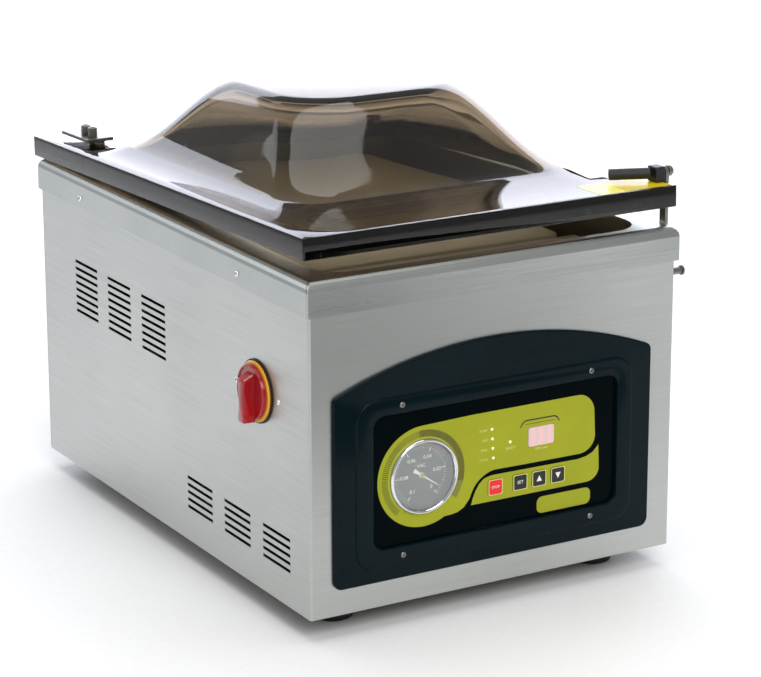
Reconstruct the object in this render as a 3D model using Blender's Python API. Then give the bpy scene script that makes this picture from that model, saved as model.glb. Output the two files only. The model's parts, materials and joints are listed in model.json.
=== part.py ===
# Chamber vacuum sealer: a steel cabinet with a sunk vacuum chamber, a hinged smoked acrylic
# lid with a raised dome, a control panel on the front and a rotary main switch on the left.
# Metres, +Z up, front towards -Y. While modelling, x = 0 is the cabinet's middle, y = 0 its
# front sheet and z = 0 its underside. The last step stands the object on the ground.

import math

import bmesh
import bpy
from mathutils import Vector

# ---- Driving dimensions
GAP = 0.0003               # air between pieces that touch
CABINET_WIDTH = 0.350
CABINET_DEPTH = 0.509
DECK_HEIGHT = 0.281        # underside to the deck's top
SHEET = 0.0012             # cabinet sheet steel
CORNER_RADIUS = 0.002      # folded cabinet corners
SKIRT_DROP = 0.0286
SKIRT_OVERHANG = 0.003
DECK_SHEET = 0.0015
DECK_ROLL = 0.008          # rolled top edge of the deck
SHELL_TOP_DROP = 0.012     # the side sheets end this far under the deck's top

FOOT_HEIGHT = 0.020
FOOT_RADIUS = 0.018
FOOT_INSET_X = 0.0465
FOOT_INSET_Y = 0.048

CHAMBER_MARGIN = 0.0225     # cabinet side to the chamber's side
CHAMBER_FRONT = 0.012
CHAMBER_REAR_MARGIN = 0.063
CHAMBER_DEPTH = 0.060
CHAMBER_CORNER = 0.028
CHAMBER_FILLET = 0.010
CHAMBER_FLANGE = 0.008
PORT_X = -0.046
PORT_DROP = 0.029          # deck top to the middle of the suction port
PORT_RADIUS = 0.0165
PORT_HOLE_RADIUS = 0.008
PORT_SLOT_RADIUS = 0.0017

SLOT_LENGTH = 0.0465
SLOT_HEIGHT = 0.0028
SLOT_PITCH = 0.0066
SLOT_COLUMN_PITCH = 0.0687
UPPER_VENT_INSET = 0.0933   # cabinet rear to the middle of the rearmost column
UPPER_VENT_Z = 0.1758
UPPER_VENT_SLOTS = 8
LOWER_VENT = (0.1943, 0.0445, 5)    # rearmost column's middle: y, z, slots
VENT_COLUMNS = 3

BEZEL_MIDDLE_X = -0.002
BEZEL_MARGIN = 0.022        # half of what the bezel is narrower than the cabinet
BEZEL_BOTTOM = 0.022
BEZEL_SIDE_TOP = 0.183
BEZEL_ARCH = 0.0304        # the arched top rises this far over its ends
BEZEL_THICKNESS = 0.0027
BEZEL_CORNER = 0.008
FRAME_MARGIN = 0.01975      # bezel side to the raised frame
FRAME_BOTTOM = 0.034
FRAME_HEIGHT = 0.143
FRAME_CORNER = 0.018
FRAME_RISE = 0.002
WINDOW_MARGIN = 0.01525     # frame side to the window
WINDOW_BOTTOM = 0.050
WINDOW_HEIGHT = 0.113
WINDOW_CORNER = 0.010
OVERLAY_THICKNESS = 0.0016
OVERLAY_FRONT = -0.0012

GAUGE_X = -0.071
GAUGE_Z = 0.105
GAUGE_RADIUS = 0.032       # outside of the chrome ring
GAUGE_RING_WIDTH = 0.0034
GAUGE_RING_RISE = 0.0031
GAUGE_CASE_DEPTH = 0.024
GAUGE_WALL = 0.0012
DIAL_SETBACK = 0.0042
NEEDLE_LENGTH = 0.020
NEEDLE_TAIL = 0.009
NEEDLE_REST_ANGLE = -35.0  # degrees from +X, seen from the front

DISPLAY_X = 0.0425
DISPLAY_Z = 0.1205
DISPLAY_WIDTH = 0.025
DISPLAY_HEIGHT = 0.0164
BUTTONS = (("stop_button", -0.0022), ("set_button", 0.0220), ("up_button", 0.0406), ("down_button", 0.0592))
BUTTON_Z = 0.0835
BUTTON_WIDTH = 0.013
BUTTON_HEIGHT = 0.013
BUTTON_RISE = 0.0010
BUTTON_FIT = 0.0004

SWITCH_Y = 0.0867
SWITCH_Z = 0.170
SWITCH_GASKET_RADIUS = 0.0268
SWITCH_PLATE_RADIUS = 0.0254
SWITCH_PLATE_THICKNESS = 0.0018
KNOB_RADIUS = 0.0228
KNOB_BASE = 0.0035
KNOB_RIM = 0.0016          # the rim round the knob's sunk face
KNOB_SINK = 0.0012
GRIP_TOP = 0.0165          # the grip runs from over the shaft to the knob's lower edge
GRIP_BOTTOM = 0.0245
GRIP_WIDTH = 0.0135
GRIP_WAIST = 0.0085
GRIP_RISE = 0.0085
GRIP_SLOPE = 0.0040        # the grip's top end leans back by this
SHAFT_RADIUS = 0.0045
SHAFT_CLEARANCE = 0.0015

SEAL_BAR_INSET = 0.0225     # chamber side to the bar's end
SEAL_BAR_WIDTH = 0.018
SEAL_BAR_HEIGHT = 0.014
SEAL_BAR_SETBACK = 0.062    # chamber front to the bar's middle
SEAL_BAR_DROP = 0.0190     # deck top to the bar's top
SEAL_TAPE = 0.0008
SEAL_ROD_INSET = 0.040      # bar end to the lift rod
SEAL_ROD_RADIUS = 0.004
SEAL_CYLINDER_RADIUS = 0.009
SEAL_CYLINDER_HEIGHT = 0.021
SEAL_FIT = 0.0005

BOARD_MARGIN = 0.0305       # chamber side to the board
BOARD_BAR_MARGIN = 0.007
BOARD_REAR_MARGIN = 0.010
BOARD_THICKNESS = 0.020
BOARD_CORNER = 0.012

LID_SIDE_INSET = 0.0005     # skirt to the slab's side
LID_FRONT = 0.0018
LID_REAR_MARGIN = 0.0056    # slab's rear edge to the hinge axis
LID_THICKNESS = 0.018
LID_GAP = 0.0007           # closed slab over the deck
LID_REST_ANGLE = 1.73      # degrees that the resting lid stands open
DOME_HEIGHT = 0.072
DOME_WALL = 0.006
DOME_FLARE = (0.011, 0.009, 0.006, 0.0734)  # slab edge to the flare: left, right, front, rear
DOME_CREASE = (0.0125, 0.0125, 0.076, 0.016)  # chamber edge to the crease over it
DOME_SHOULDER = (0.061, 0.061, 0.088, 0.092)  # crease to the flat top's edge
DOME_FLARE_RISE = 0.0043
DOME_FLARE_CORNER = 0.060
DOME_CREASE_CORNER = 0.040
DOME_TOP_CORNER = 0.052
DOME_FOOT_SLOPE = 0.18     # rise over run, as shares of the dome's side, at its foot and its top
DOME_TOP_SLOPE = 0.25
FLARE_STEPS = 3
DOME_STEPS = 8
LID_CORNER_STEPS = 6
GASKET_INSET = 0.0022      # chamber edge to the gasket
GASKET_WIDTH = 0.005
GASKET_DEPTH = 0.003
GASKET_PROUD = 0.0003
PAD_DROP = 0.0065

HINGE_SETBACK = 0.013       # skirt's rear face to the hinge axis
HINGE_AXIS_DROP = 0.002    # deck top to the hinge axis
HINGE_INSET = 0.030         # cabinet side to the middle of a hinge
HINGE_ARM_WIDTH = 0.020
HINGE_ARM_THICKNESS = 0.0026
HINGE_ARM_MARGIN = 0.003    # gasket to the arm
KNUCKLE_RADIUS = 0.0052
HINGE_PIN_RADIUS = 0.0026
HINGE_FIT = 0.0004
EAR_THICKNESS = 0.004
HINGE_PLATE_INSET = 0.029
HINGE_PLATE_WIDTH = 0.026
HINGE_PLATE_OVERLAP = 0.006 # the plate starts this far ahead of the chamber's rear
HINGE_PLATE_LENGTH = 0.056
HINGE_PLATE_THICKNESS = 0.003
HINGE_PLATE_LIFT = 0.0035

LATCH_Y = 0.0235
LATCH_RISE = 0.008         # slab top to the latch handle's axis
LATCH_ARM_CLEARANCE = 0.0008    # skirt to the arm
LATCH_ARM_THICKNESS = 0.003
LATCH_ARM_WIDTH = 0.008
LATCH_ARM_LENGTH = 0.076
NOTCH_RADIUS = 0.0034
HANDLE_RADIUS = 0.00475
HANDLE_LENGTH = 0.034
HANDLE_SWEEP = 24.5        # degrees that the handle turns back from straight across
BOLT_RADIUS = 0.0023
BOLT_HEAD_RADIUS = 0.0046
STUD_Y = 0.006
STUD_DROP = 0.0119         # skirt's lower edge to the stud
STUD_RADIUS = 0.003

FAN_INSET = 0.065          # cabinet side to the fan's middle
FAN_Z = 0.100
FAN_SIZE = 0.080
FAN_DEPTH = 0.025
FAN_WALL = 0.0045          # back of the fan frame
FAN_HUB_RADIUS = 0.015
GRILLE = ((-0.027, 0.022), (-0.018, 0.030), (-0.009, 0.035), (0, 0.037), (0.009, 0.035), (0.018, 0.030),
          (0.027, 0.022))  # each slot's height from the fan's middle and its half length
GRILLE_SLOT = 0.004
INLET_INSET = 0.065
INLET_Z = 0.060
INLET_WIDTH = 0.047
INLET_HEIGHT = 0.028
INLET_DEPTH = 0.020
INLET_FLANGE = (0.006, 0.003)       # flange past the body, across and up
INLET_PINS = ((-0.007, -0.002), (0, 0.003), (0.007, -0.002))
PUMP_X = -0.035
PUMP_REAR = 0.119          # cabinet rear to the pump
PUMP_SIZE = (0.120, 0.140, 0.110)
PUMP_FINS = 7
PUMP_FIN_PITCH = 0.016
PUMP_FIN_GAP = 0.008
PUMP_FIN_DEPTH = 0.005
MOTOR_RADIUS = 0.050
MOTOR_LENGTH = 0.130
MOTOR_BAND_PITCH = 0.030
HOSE_RADIUS = 0.006
HOSE_RUN = 0.022           # straight ends of the suction hose
FILTER_X_INSET = 0.050
FILTER_Z = 0.165
FILTER_RADIUS = 0.026
FILTER_LENGTH = 0.114
FILTER_REAR = 0.035        # cabinet rear to the filter's body
VALVE_INSET = 0.065
VALVE_REAR = 0.209         # cabinet rear to the valve
VALVE_SIZE = (0.040, 0.035, 0.040)
VALVE_Z = 0.120
VALVE_STEM_RADIUS = 0.007
VALVE_STEM_TOP = 0.190
CORE_INSET = 0.020         # cabinet side to the transformer's core
CORE_FRONT = 0.180
CORE_SIZE = (0.070, 0.060, 0.075)
COIL_MARGIN = (0.012, 0.015, 0.014)  # core to coil: sides in, ends out, top and bottom in
CHIPS = ((0.0, 0.070, 0.022, 0.018, 0.009), (0.040, 0.095, 0.030, 0.022, 0.004),
         (0.080, 0.120, 0.016, 0.020, 0.012))  # x, z, width, height, thickness
CIRCUIT = (-0.030, 0.105, 0.062, 0.150)  # x and z limits of the circuit board
CIRCUIT_SETBACK = 0.009
CIRCUIT_THICKNESS = 0.0016

# ---- Worked out from the sizes above
HALF_WIDTH = CABINET_WIDTH / 2
UPPER_VENT = (CABINET_DEPTH - UPPER_VENT_INSET, UPPER_VENT_Z, UPPER_VENT_SLOTS)
CHAMBER_WIDTH = CABINET_WIDTH - 2 * CHAMBER_MARGIN
BEZEL_WIDTH = CABINET_WIDTH - 2 * BEZEL_MARGIN
FRAME_WIDTH = BEZEL_WIDTH - 2 * FRAME_MARGIN
WINDOW_WIDTH = FRAME_WIDTH - 2 * WINDOW_MARGIN
SKIRT_BOTTOM = DECK_HEIGHT - SKIRT_DROP
CHAMBER_REAR = CABINET_DEPTH - CHAMBER_REAR_MARGIN
CHAMBER_FLOOR = DECK_HEIGHT - CHAMBER_DEPTH
PORT_Z = DECK_HEIGHT - PORT_DROP
LID_BOTTOM = DECK_HEIGHT + LID_GAP
LID_TOP = LID_BOTTOM + LID_THICKNESS
HINGE_AXIS_Y = CABINET_DEPTH + SKIRT_OVERHANG + HINGE_SETBACK
HINGE_AXIS_Z = DECK_HEIGHT - HINGE_AXIS_DROP
HINGE_X = HALF_WIDTH - HINGE_INSET
HINGE_PLATE_X = HALF_WIDTH - HINGE_PLATE_INSET
HINGE_ARM_FRONT = CHAMBER_REAR + GASKET_INSET + GASKET_WIDTH + HINGE_ARM_MARGIN
HINGE_PLATE_FRONT = CHAMBER_REAR - HINGE_PLATE_OVERLAP
LID_WIDTH = CABINET_WIDTH + 2 * (SKIRT_OVERHANG - LID_SIDE_INSET)
LID_REAR = HINGE_AXIS_Y - LID_REAR_MARGIN
LATCH_ARM_X = HALF_WIDTH + SKIRT_OVERHANG + LATCH_ARM_CLEARANCE
STUD_Z = SKIRT_BOTTOM - STUD_DROP
BEZEL_FRONT = -GAP - BEZEL_THICKNESS
SEAL_BAR_TOP = DECK_HEIGHT - SEAL_BAR_DROP
SEAL_BAR_LENGTH = CHAMBER_WIDTH - 2 * SEAL_BAR_INSET
SEAL_BAR_Y = CHAMBER_FRONT + SEAL_BAR_SETBACK
SEAL_ROD_X = SEAL_BAR_LENGTH / 2 - SEAL_ROD_INSET
BOARD_FRONT = SEAL_BAR_Y + SEAL_BAR_WIDTH / 2 + BOARD_BAR_MARGIN
FAN_X = FAN_INSET - HALF_WIDTH
INLET_X = HALF_WIDTH - INLET_INSET
PAN_TOP = 2 * SHEET


# ---- Modelling helpers
def clear_scene():
    for obj in list(bpy.data.objects):
        bpy.data.objects.remove(obj, do_unlink=True)


def material(name, colour, roughness, metallic=0.0, transmission=0.0):
    made = bpy.data.materials.new(name)
    made.use_nodes = True
    shader = made.node_tree.nodes["Principled BSDF"]
    shader.inputs["Base Color"].default_value = (*colour, 1.0)
    shader.inputs["Roughness"].default_value = roughness
    shader.inputs["Metallic"].default_value = metallic
    shader.inputs["Transmission Weight"].default_value = transmission
    made.diffuse_color = (*colour, 1.0)
    return made


def add_empty(name, parent, location=(0, 0, 0)):
    empty = bpy.data.objects.new(name, None)
    bpy.context.scene.collection.objects.link(empty)
    empty.parent = parent
    empty.location = location
    return empty


def add_mesh(name, points, faces, finish, parent, origin=(0, 0, 0)):
    """One closed mesh object. The points are given where the piece stands, the origin is its pivot."""
    mesh = bpy.data.meshes.new(name)
    pivot = Vector(origin)
    mesh.from_pydata([Vector(p) - pivot for p in points], [], faces)
    shape = bmesh.new()
    shape.from_mesh(mesh)
    bmesh.ops.recalc_face_normals(shape, faces=shape.faces)
    shape.to_mesh(mesh)
    shape.free()
    mesh.shade_smooth()
    mesh.set_sharp_from_angle(angle=math.radians(32))
    if finish:
        mesh.materials.append(finish)
    obj = bpy.data.objects.new(name, mesh)
    bpy.context.scene.collection.objects.link(obj)
    obj.parent = parent
    obj.location = pivot
    return obj


def arc(start, end, steps):
    return [math.radians(start + (end - start) * i / steps) for i in range(steps + 1)]


def rounded_rect(limits, radius, steps=4, grow=0.0):
    """Corner points of a rounded rectangle (low u, high u, low v, high v), grown on every side."""
    u0, u1, v0, v1 = limits[0] - grow, limits[1] + grow, limits[2] - grow, limits[3] + grow
    r = radius + grow if grow > 0 else max(radius + grow, 0.0005)
    corners = ((u1 - r, v0 + r, -90), (u1 - r, v1 - r, 0), (u0 + r, v1 - r, 90), (u0 + r, v0 + r, 180))
    return [(u + r * math.cos(a), v + r * math.sin(a)) for u, v, start in corners
            for a in arc(start, start + 90, steps)]


def rectangle(limits):
    return [(limits[0], limits[2]), (limits[1], limits[2]), (limits[1], limits[3]), (limits[0], limits[3])]


def circle(u, v, radius, steps=24):
    return [(u + radius * math.cos(2 * math.pi * i / steps), v + radius * math.sin(2 * math.pi * i / steps))
            for i in range(steps)]


def spin(outline, turn, centre):
    """An outline turned about its own origin and set down at a centre."""
    return [(centre[0] + u * math.cos(turn) - v * math.sin(turn), centre[1] + u * math.sin(turn) + v * math.cos(turn))
            for u, v in outline]


def place(axis, u, v, along):
    """A point of an outline that lies across the named axis."""
    return {"X": (along, u, v), "Y": (u, along, v), "Z": (u, v, along)}[axis]


def loft(name, rings, finish, parent, ring_closed=False, origin=(0, 0, 0)):
    """Skins rings of equal point count; closes on itself, or ends in two flat caps."""
    count = len(rings[0])
    points = [p for ring in rings for p in ring]
    faces = []
    spans = len(rings) if ring_closed else len(rings) - 1
    for i in range(spans):
        a, b = i * count, (i + 1) % len(rings) * count
        for j in range(count):
            k = (j + 1) % count
            faces.append((a + j, a + k, b + k, b + j))
    if not ring_closed:
        last = (len(rings) - 1) * count
        faces += [tuple(reversed(range(count))), tuple(range(last, last + count))]
    return add_mesh(name, points, faces, finish, parent, origin)


def prism(name, outline, axis, low, high, finish, parent, origin=(0, 0, 0)):
    rings = [[place(axis, u, v, along) for u, v in outline] for along in (low, high)]
    return loft(name, rings, finish, parent, origin=origin)


def block(name, low, high, finish, parent, bevel=0.0, origin=(0, 0, 0)):
    obj = prism(name, [(low[0], low[1]), (high[0], low[1]), (high[0], high[1]), (low[0], high[1])],
                "Z", low[2], high[2], finish, parent, origin)
    if bevel:
        soften(obj, bevel)
    return obj


def soften(obj, width, segments=2):
    bevel = obj.modifiers.new("bevel", "BEVEL")
    bevel.width = width
    bevel.segments = segments
    bevel.limit_method = "ANGLE"
    bevel.angle_limit = math.radians(40)


def turned(name, profile, axis, centre, finish, parent, steps=24, ring_closed=False, origin=(0, 0, 0)):
    """Turns (radius, along) points about a line that runs along the named axis through the centre."""
    rings = [[place(axis, u, v, along) for u, v in circle(centre[0], centre[1], radius, steps)]
             for radius, along in profile]
    return loft(name, rings, finish, parent, ring_closed, origin)


def combine(obj, helper, operation):
    """Cuts with, or joins, a helper shape that stays in the file as a hidden wire."""
    helper.hide_render = True
    helper.display_type = "WIRE"
    modifier = obj.modifiers.new(helper.name, "BOOLEAN")
    modifier.operation = operation
    modifier.object = helper
    modifier.solver = "EXACT"
    return obj


def cut(obj, *helpers):
    for helper in helpers:
        combine(obj, helper, "DIFFERENCE")
    return obj


def join(obj, *helpers):
    for helper in helpers:
        combine(obj, helper, "UNION")
    return obj


def many_prisms(name, outlines, axis, low, high, parent):
    """One helper mesh that holds a prism for each outline."""
    points, faces = [], []
    for outline in outlines:
        base, count = len(points), len(outline)
        points += [place(axis, u, v, along) for along in (low, high) for u, v in outline]
        faces += [(base + j, base + (j + 1) % count, base + count + (j + 1) % count, base + count + j)
                  for j in range(count)]
        faces.append(tuple(base + j for j in reversed(range(count))))
        faces.append(tuple(base + count + j for j in range(count)))
    return add_mesh(name, points, faces, None, parent)


# ---- Cabinet
def vent_outlines(vent):
    """The slots of one vent: columns along the depth, slots down each column."""
    middle_y, middle_z, slots = vent
    outlines = []
    for column in range(VENT_COLUMNS):
        y = middle_y - column * SLOT_COLUMN_PITCH
        for row in range(slots):
            z = middle_z + (row - (slots - 1) / 2) * SLOT_PITCH
            limits = (y - SLOT_LENGTH / 2, y + SLOT_LENGTH / 2, z - SLOT_HEIGHT / 2, z + SLOT_HEIGHT / 2)
            outlines.append(rectangle(limits))
    return outlines


def shell_outline():
    w, d, r = HALF_WIDTH, CABINET_DEPTH - SHEET - GAP, CORNER_RADIUS
    outer = [(-w, d)]
    outer += [(-w + r + r * math.cos(a), r + r * math.sin(a)) for a in arc(180, 270, 3)]
    outer += [(w - r + r * math.cos(a), r + r * math.sin(a)) for a in arc(270, 360, 3)]
    outer += [(w, d)]
    inner = r - SHEET
    back = [(w - SHEET, d)]
    back += [(w - r + inner * math.cos(a), r + inner * math.sin(a)) for a in arc(360, 270, 3)]
    back += [(-w + r + inner * math.cos(a), r + inner * math.sin(a)) for a in arc(270, 180, 3)]
    back += [(-w + SHEET, d)]
    return outer + back


def window_limits():
    x = BEZEL_MIDDLE_X + 0.0005
    return (x - WINDOW_WIDTH / 2, x + WINDOW_WIDTH / 2, WINDOW_BOTTOM, WINDOW_BOTTOM + WINDOW_HEIGHT)


def build_shell(steel, root):
    shell = prism("cabinet_shell", shell_outline(), "Z", 0, DECK_HEIGHT - SHELL_TOP_DROP, steel, root)
    slots = vent_outlines(UPPER_VENT) + vent_outlines(LOWER_VENT)
    reach = HALF_WIDTH + 0.01
    cut(shell, many_prisms("side_slots", slots, "X", -reach, reach, root))
    cut(shell, prism("panel_window", rounded_rect(window_limits(), WINDOW_CORNER), "Y", -0.01, 0.01, None, root))
    hole = turned("switch_hole", [(SHAFT_RADIUS + SHAFT_CLEARANCE, -reach), (SHAFT_RADIUS + SHAFT_CLEARANCE, 0)],
                  "X", (SWITCH_Y, SWITCH_Z), None, root)
    return cut(shell, hole)


def build_base_pan(steel, root):
    side = GAP + SHEET
    limits = (-HALF_WIDTH + side, HALF_WIDTH - side, side, CABINET_DEPTH - 2 * side)
    flange = 0.012
    levels = [(0, 0), (0, flange), (-SHEET, flange), (-SHEET, SHEET)]
    rings = [[(x, y, z) for x, y in rounded_rect(limits, 0.003, 2, grow)] for grow, z in levels]
    return loft("base_pan", rings, steel, root)


def build_rear_panel(steel, root):
    limits = (-HALF_WIDTH, HALF_WIDTH, 0, DECK_HEIGHT - SHELL_TOP_DROP)
    panel = prism("rear_panel", rounded_rect(limits, 0.001, 1), "Y", CABINET_DEPTH - SHEET, CABINET_DEPTH,
                  steel, root)
    half = GRILLE_SLOT / 2
    grille = [rounded_rect((FAN_X - w, FAN_X + w, FAN_Z + dz - half, FAN_Z + dz + half), 0.0016, 1)
              for dz, w in GRILLE]
    cut(panel, many_prisms("fan_grille", grille, "Y", CABINET_DEPTH - 0.01, CABINET_DEPTH + 0.01, root))
    inlet = rounded_rect((INLET_X - INLET_WIDTH / 2, INLET_X + INLET_WIDTH / 2,
                          INLET_Z - INLET_HEIGHT / 2, INLET_Z + INLET_HEIGHT / 2), 0.002, 1, GAP)
    return cut(panel, prism("inlet_hole", inlet, "Y", CABINET_DEPTH - 0.01, CABINET_DEPTH + 0.01, None, root))


def chamber_limits():
    return (-CHAMBER_WIDTH / 2, CHAMBER_WIDTH / 2, CHAMBER_FRONT, CHAMBER_REAR)


def build_deck(steel, root):
    w = HALF_WIDTH + SKIRT_OVERHANG
    outer = (-w, w, -SKIRT_OVERHANG, CABINET_DEPTH + SKIRT_OVERHANG)
    corner, steps = 0.0016, 5
    roll = DECK_HEIGHT - DECK_ROLL
    inner_roll = DECK_ROLL - DECK_SHEET
    levels = [(0, SKIRT_BOTTOM)]
    levels += [(-DECK_ROLL * (1 - math.cos(a)), roll + DECK_ROLL * math.sin(a)) for a in arc(0, 90, 4)]
    under = [(-DECK_ROLL + inner_roll * math.cos(a), roll + inner_roll * math.sin(a)) for a in arc(90, 0, 3)]
    under += [(-DECK_SHEET, SKIRT_BOTTOM)]

    def outline(grow, z):
        limits = (outer[0] - grow, outer[1] + grow, outer[2] - grow, outer[3] + grow)
        return [(x, y, z) for x, y in rounded_rect(limits, corner, steps)]

    rings = [outline(grow, z) for grow, z in levels]
    rings += [[(x, y, z) for x, y in rounded_rect(chamber_limits(), CHAMBER_CORNER, steps)]
              for z in (DECK_HEIGHT, DECK_HEIGHT - DECK_SHEET)]
    rings += [outline(grow, z) for grow, z in under]
    return loft("deck_frame", rings, steel, root, ring_closed=True)


def build_chamber(steel, root):
    top = DECK_HEIGHT - DECK_SHEET - GAP
    r = CHAMBER_FILLET
    inside = [(-r + r * math.sin(a), CHAMBER_FLOOR + r - r * math.cos(a)) for a in arc(0, 90, 4)]
    thick = r + SHEET
    outside = [(-r + thick * math.sin(a), CHAMBER_FLOOR + r - thick * math.cos(a)) for a in arc(90, 0, 4)]
    levels = inside + [(0, top), (CHAMBER_FLANGE, top), (CHAMBER_FLANGE, top - SHEET), (SHEET, top - SHEET)] + outside
    rings = [[(x, y, z) for x, y in rounded_rect(chamber_limits(), CHAMBER_CORNER, 5, grow)] for grow, z in levels]
    chamber = loft("vacuum_chamber", rings, steel, root)
    port = turned("port_hole", [(PORT_HOLE_RADIUS, CHAMBER_REAR - 0.01), (PORT_HOLE_RADIUS, CHAMBER_REAR + 0.01)],
                  "Y", (PORT_X, PORT_Z), None, root)
    return cut(chamber, port)


def build_port_cover(plastic, root):
    back = CHAMBER_REAR - GAP
    profile = [(PORT_RADIUS, back), (PORT_RADIUS, back - 0.0016), (PORT_RADIUS - 0.0014, back - 0.003)]
    cover = turned("vacuum_port_cover", profile, "Y", (PORT_X, PORT_Z), plastic, root)
    ring = PORT_RADIUS - 0.0075
    holes = [circle(PORT_X + ring * math.cos(a), PORT_Z + ring * math.sin(a), PORT_SLOT_RADIUS, 6)
             for a in arc(0, 315, 7)]
    return cut(cover, many_prisms("port_holes", holes, "Y", back - 0.01, back + 0.01, root))


def build_feet(rubber, root):
    top = -GAP
    profile = [(FOOT_RADIUS - 0.003, -FOOT_HEIGHT), (FOOT_RADIUS - 0.001, -FOOT_HEIGHT + 0.001),
               (FOOT_RADIUS, -FOOT_HEIGHT + 0.004), (FOOT_RADIUS, top - 0.003), (FOOT_RADIUS - 0.002, top)]
    x = HALF_WIDTH - FOOT_INSET_X
    for end, y in (("front", FOOT_INSET_Y), ("rear", CABINET_DEPTH - FOOT_INSET_Y)):
        for side, sign in (("left", -1), ("right", 1)):
            turned(f"foot_{end}_{side}", profile, "Z", (sign * x, y), rubber, root, 20)


# ---- Control panel
def bezel_outline():
    x0, x1 = BEZEL_MIDDLE_X - BEZEL_WIDTH / 2, BEZEL_MIDDLE_X + BEZEL_WIDTH / 2
    r = BEZEL_CORNER
    bottom = [(x0 + r + r * math.cos(a), BEZEL_BOTTOM + r + r * math.sin(a)) for a in arc(180, 270, 4)]
    bottom += [(x1 - r + r * math.cos(a), BEZEL_BOTTOM + r + r * math.sin(a)) for a in arc(270, 360, 4)]
    half = BEZEL_WIDTH / 2
    sweep = (half**2 + BEZEL_ARCH**2) / (2 * BEZEL_ARCH)
    spread = math.degrees(math.asin(half / sweep))
    centre_z = BEZEL_SIDE_TOP + BEZEL_ARCH - sweep
    top = [(BEZEL_MIDDLE_X + sweep * math.sin(a), centre_z + sweep * math.cos(a))
           for a in arc(spread, -spread, 20)]
    return bottom + top


def build_bezel(plastic, root):
    bezel = prism("control_bezel", bezel_outline(), "Y", BEZEL_FRONT, -GAP, plastic, root)
    middle = BEZEL_MIDDLE_X
    frame = (middle - FRAME_WIDTH / 2, middle + FRAME_WIDTH / 2, FRAME_BOTTOM, FRAME_BOTTOM + FRAME_HEIGHT)
    join(bezel, prism("bezel_frame", rounded_rect(frame, FRAME_CORNER, 5), "Y",
                      BEZEL_FRONT - FRAME_RISE, -GAP - BEZEL_THICKNESS / 2, None, root))
    window = rounded_rect(window_limits(), WINDOW_CORNER, 4)
    return cut(bezel, prism("bezel_window", window, "Y", -0.02, 0.01, None, root))


def button_limits(x):
    return (x - BUTTON_WIDTH / 2, x + BUTTON_WIDTH / 2, BUTTON_Z - BUTTON_HEIGHT / 2, BUTTON_Z + BUTTON_HEIGHT / 2)


def display_limits():
    return (DISPLAY_X - DISPLAY_WIDTH / 2, DISPLAY_X + DISPLAY_WIDTH / 2,
            DISPLAY_Z - DISPLAY_HEIGHT / 2, DISPLAY_Z + DISPLAY_HEIGHT / 2)


def build_overlay(film, root):
    back = OVERLAY_FRONT + OVERLAY_THICKNESS
    outline = rounded_rect(window_limits(), WINDOW_CORNER, 4, -BUTTON_FIT)
    overlay = prism("panel_overlay", outline, "Y", OVERLAY_FRONT, back, film, root)
    openings = [circle(GAUGE_X, GAUGE_Z, GAUGE_RADIUS - GAUGE_RING_WIDTH + GAUGE_WALL + GAP, 32),
                rounded_rect(display_limits(), 0.001, 1, GAP)]
    openings += [rounded_rect(button_limits(x), 0.0015, 2, BUTTON_FIT) for _, x in BUTTONS]
    return cut(overlay, many_prisms("overlay_openings", openings, "Y", -0.01, 0.01, root))


def build_panel_parts(looks, root):
    prism("display_window", rounded_rect(display_limits(), 0.001, 1), "Y", OVERLAY_FRONT - GAP, 0.004,
          looks["display"], root)
    x0, x1, z0, z1 = CIRCUIT
    back = CIRCUIT_SETBACK + CIRCUIT_THICKNESS
    board = block("circuit_board", (x0, CIRCUIT_SETBACK, z0), (x1, back, z1), looks["board"], root)
    for i, (x, z, w, h, d) in enumerate(CHIPS):
        join(board, block(f"board_chip_{i}", (x, back - GAP, z), (x + w, back + d, z + h), None, root))
    for name, x in BUTTONS:
        finish = looks["stop"] if name == "stop_button" else looks["button"]
        back = 0.002
        prism(name, rounded_rect(button_limits(x), 0.0015, 2), "Y", OVERLAY_FRONT - BUTTON_RISE, back,
              finish, root, origin=(x, back, BUTTON_Z))


def build_gauge(looks, root):
    centre = (GAUGE_X, GAUGE_Z)
    inner = GAUGE_RADIUS - GAUGE_RING_WIDTH
    front = OVERLAY_FRONT
    case = [(inner, GAUGE_CASE_DEPTH - GAUGE_WALL), (inner, front), (inner + GAUGE_WALL, front),
            (inner + GAUGE_WALL, GAUGE_CASE_DEPTH)]
    turned("gauge_case", case, "Y", centre, looks["black"], root, 32)
    back = front - GAP
    rise = back - GAUGE_RING_RISE
    ring = [(inner, back), (inner, rise + 0.0012), (inner + 0.0006, rise + 0.0003), (inner + 0.0014, rise),
            (GAUGE_RADIUS - 0.0008, rise + 0.0008), (GAUGE_RADIUS, rise + 0.0020), (GAUGE_RADIUS, back)]
    turned("gauge_ring", ring, "Y", centre, looks["chrome"], root, 32, ring_closed=True)
    lens = inner - GAP
    turned("gauge_glass", [(lens, back), (lens, back - 0.001)], "Y", centre, looks["glass"], root, 32)
    dial = front + DIAL_SETBACK
    turned("gauge_dial", [(lens, dial), (lens, dial + 0.0008)], "Y", centre, looks["black"], root, 32)
    build_needle(dial, looks["white"], root)


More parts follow.
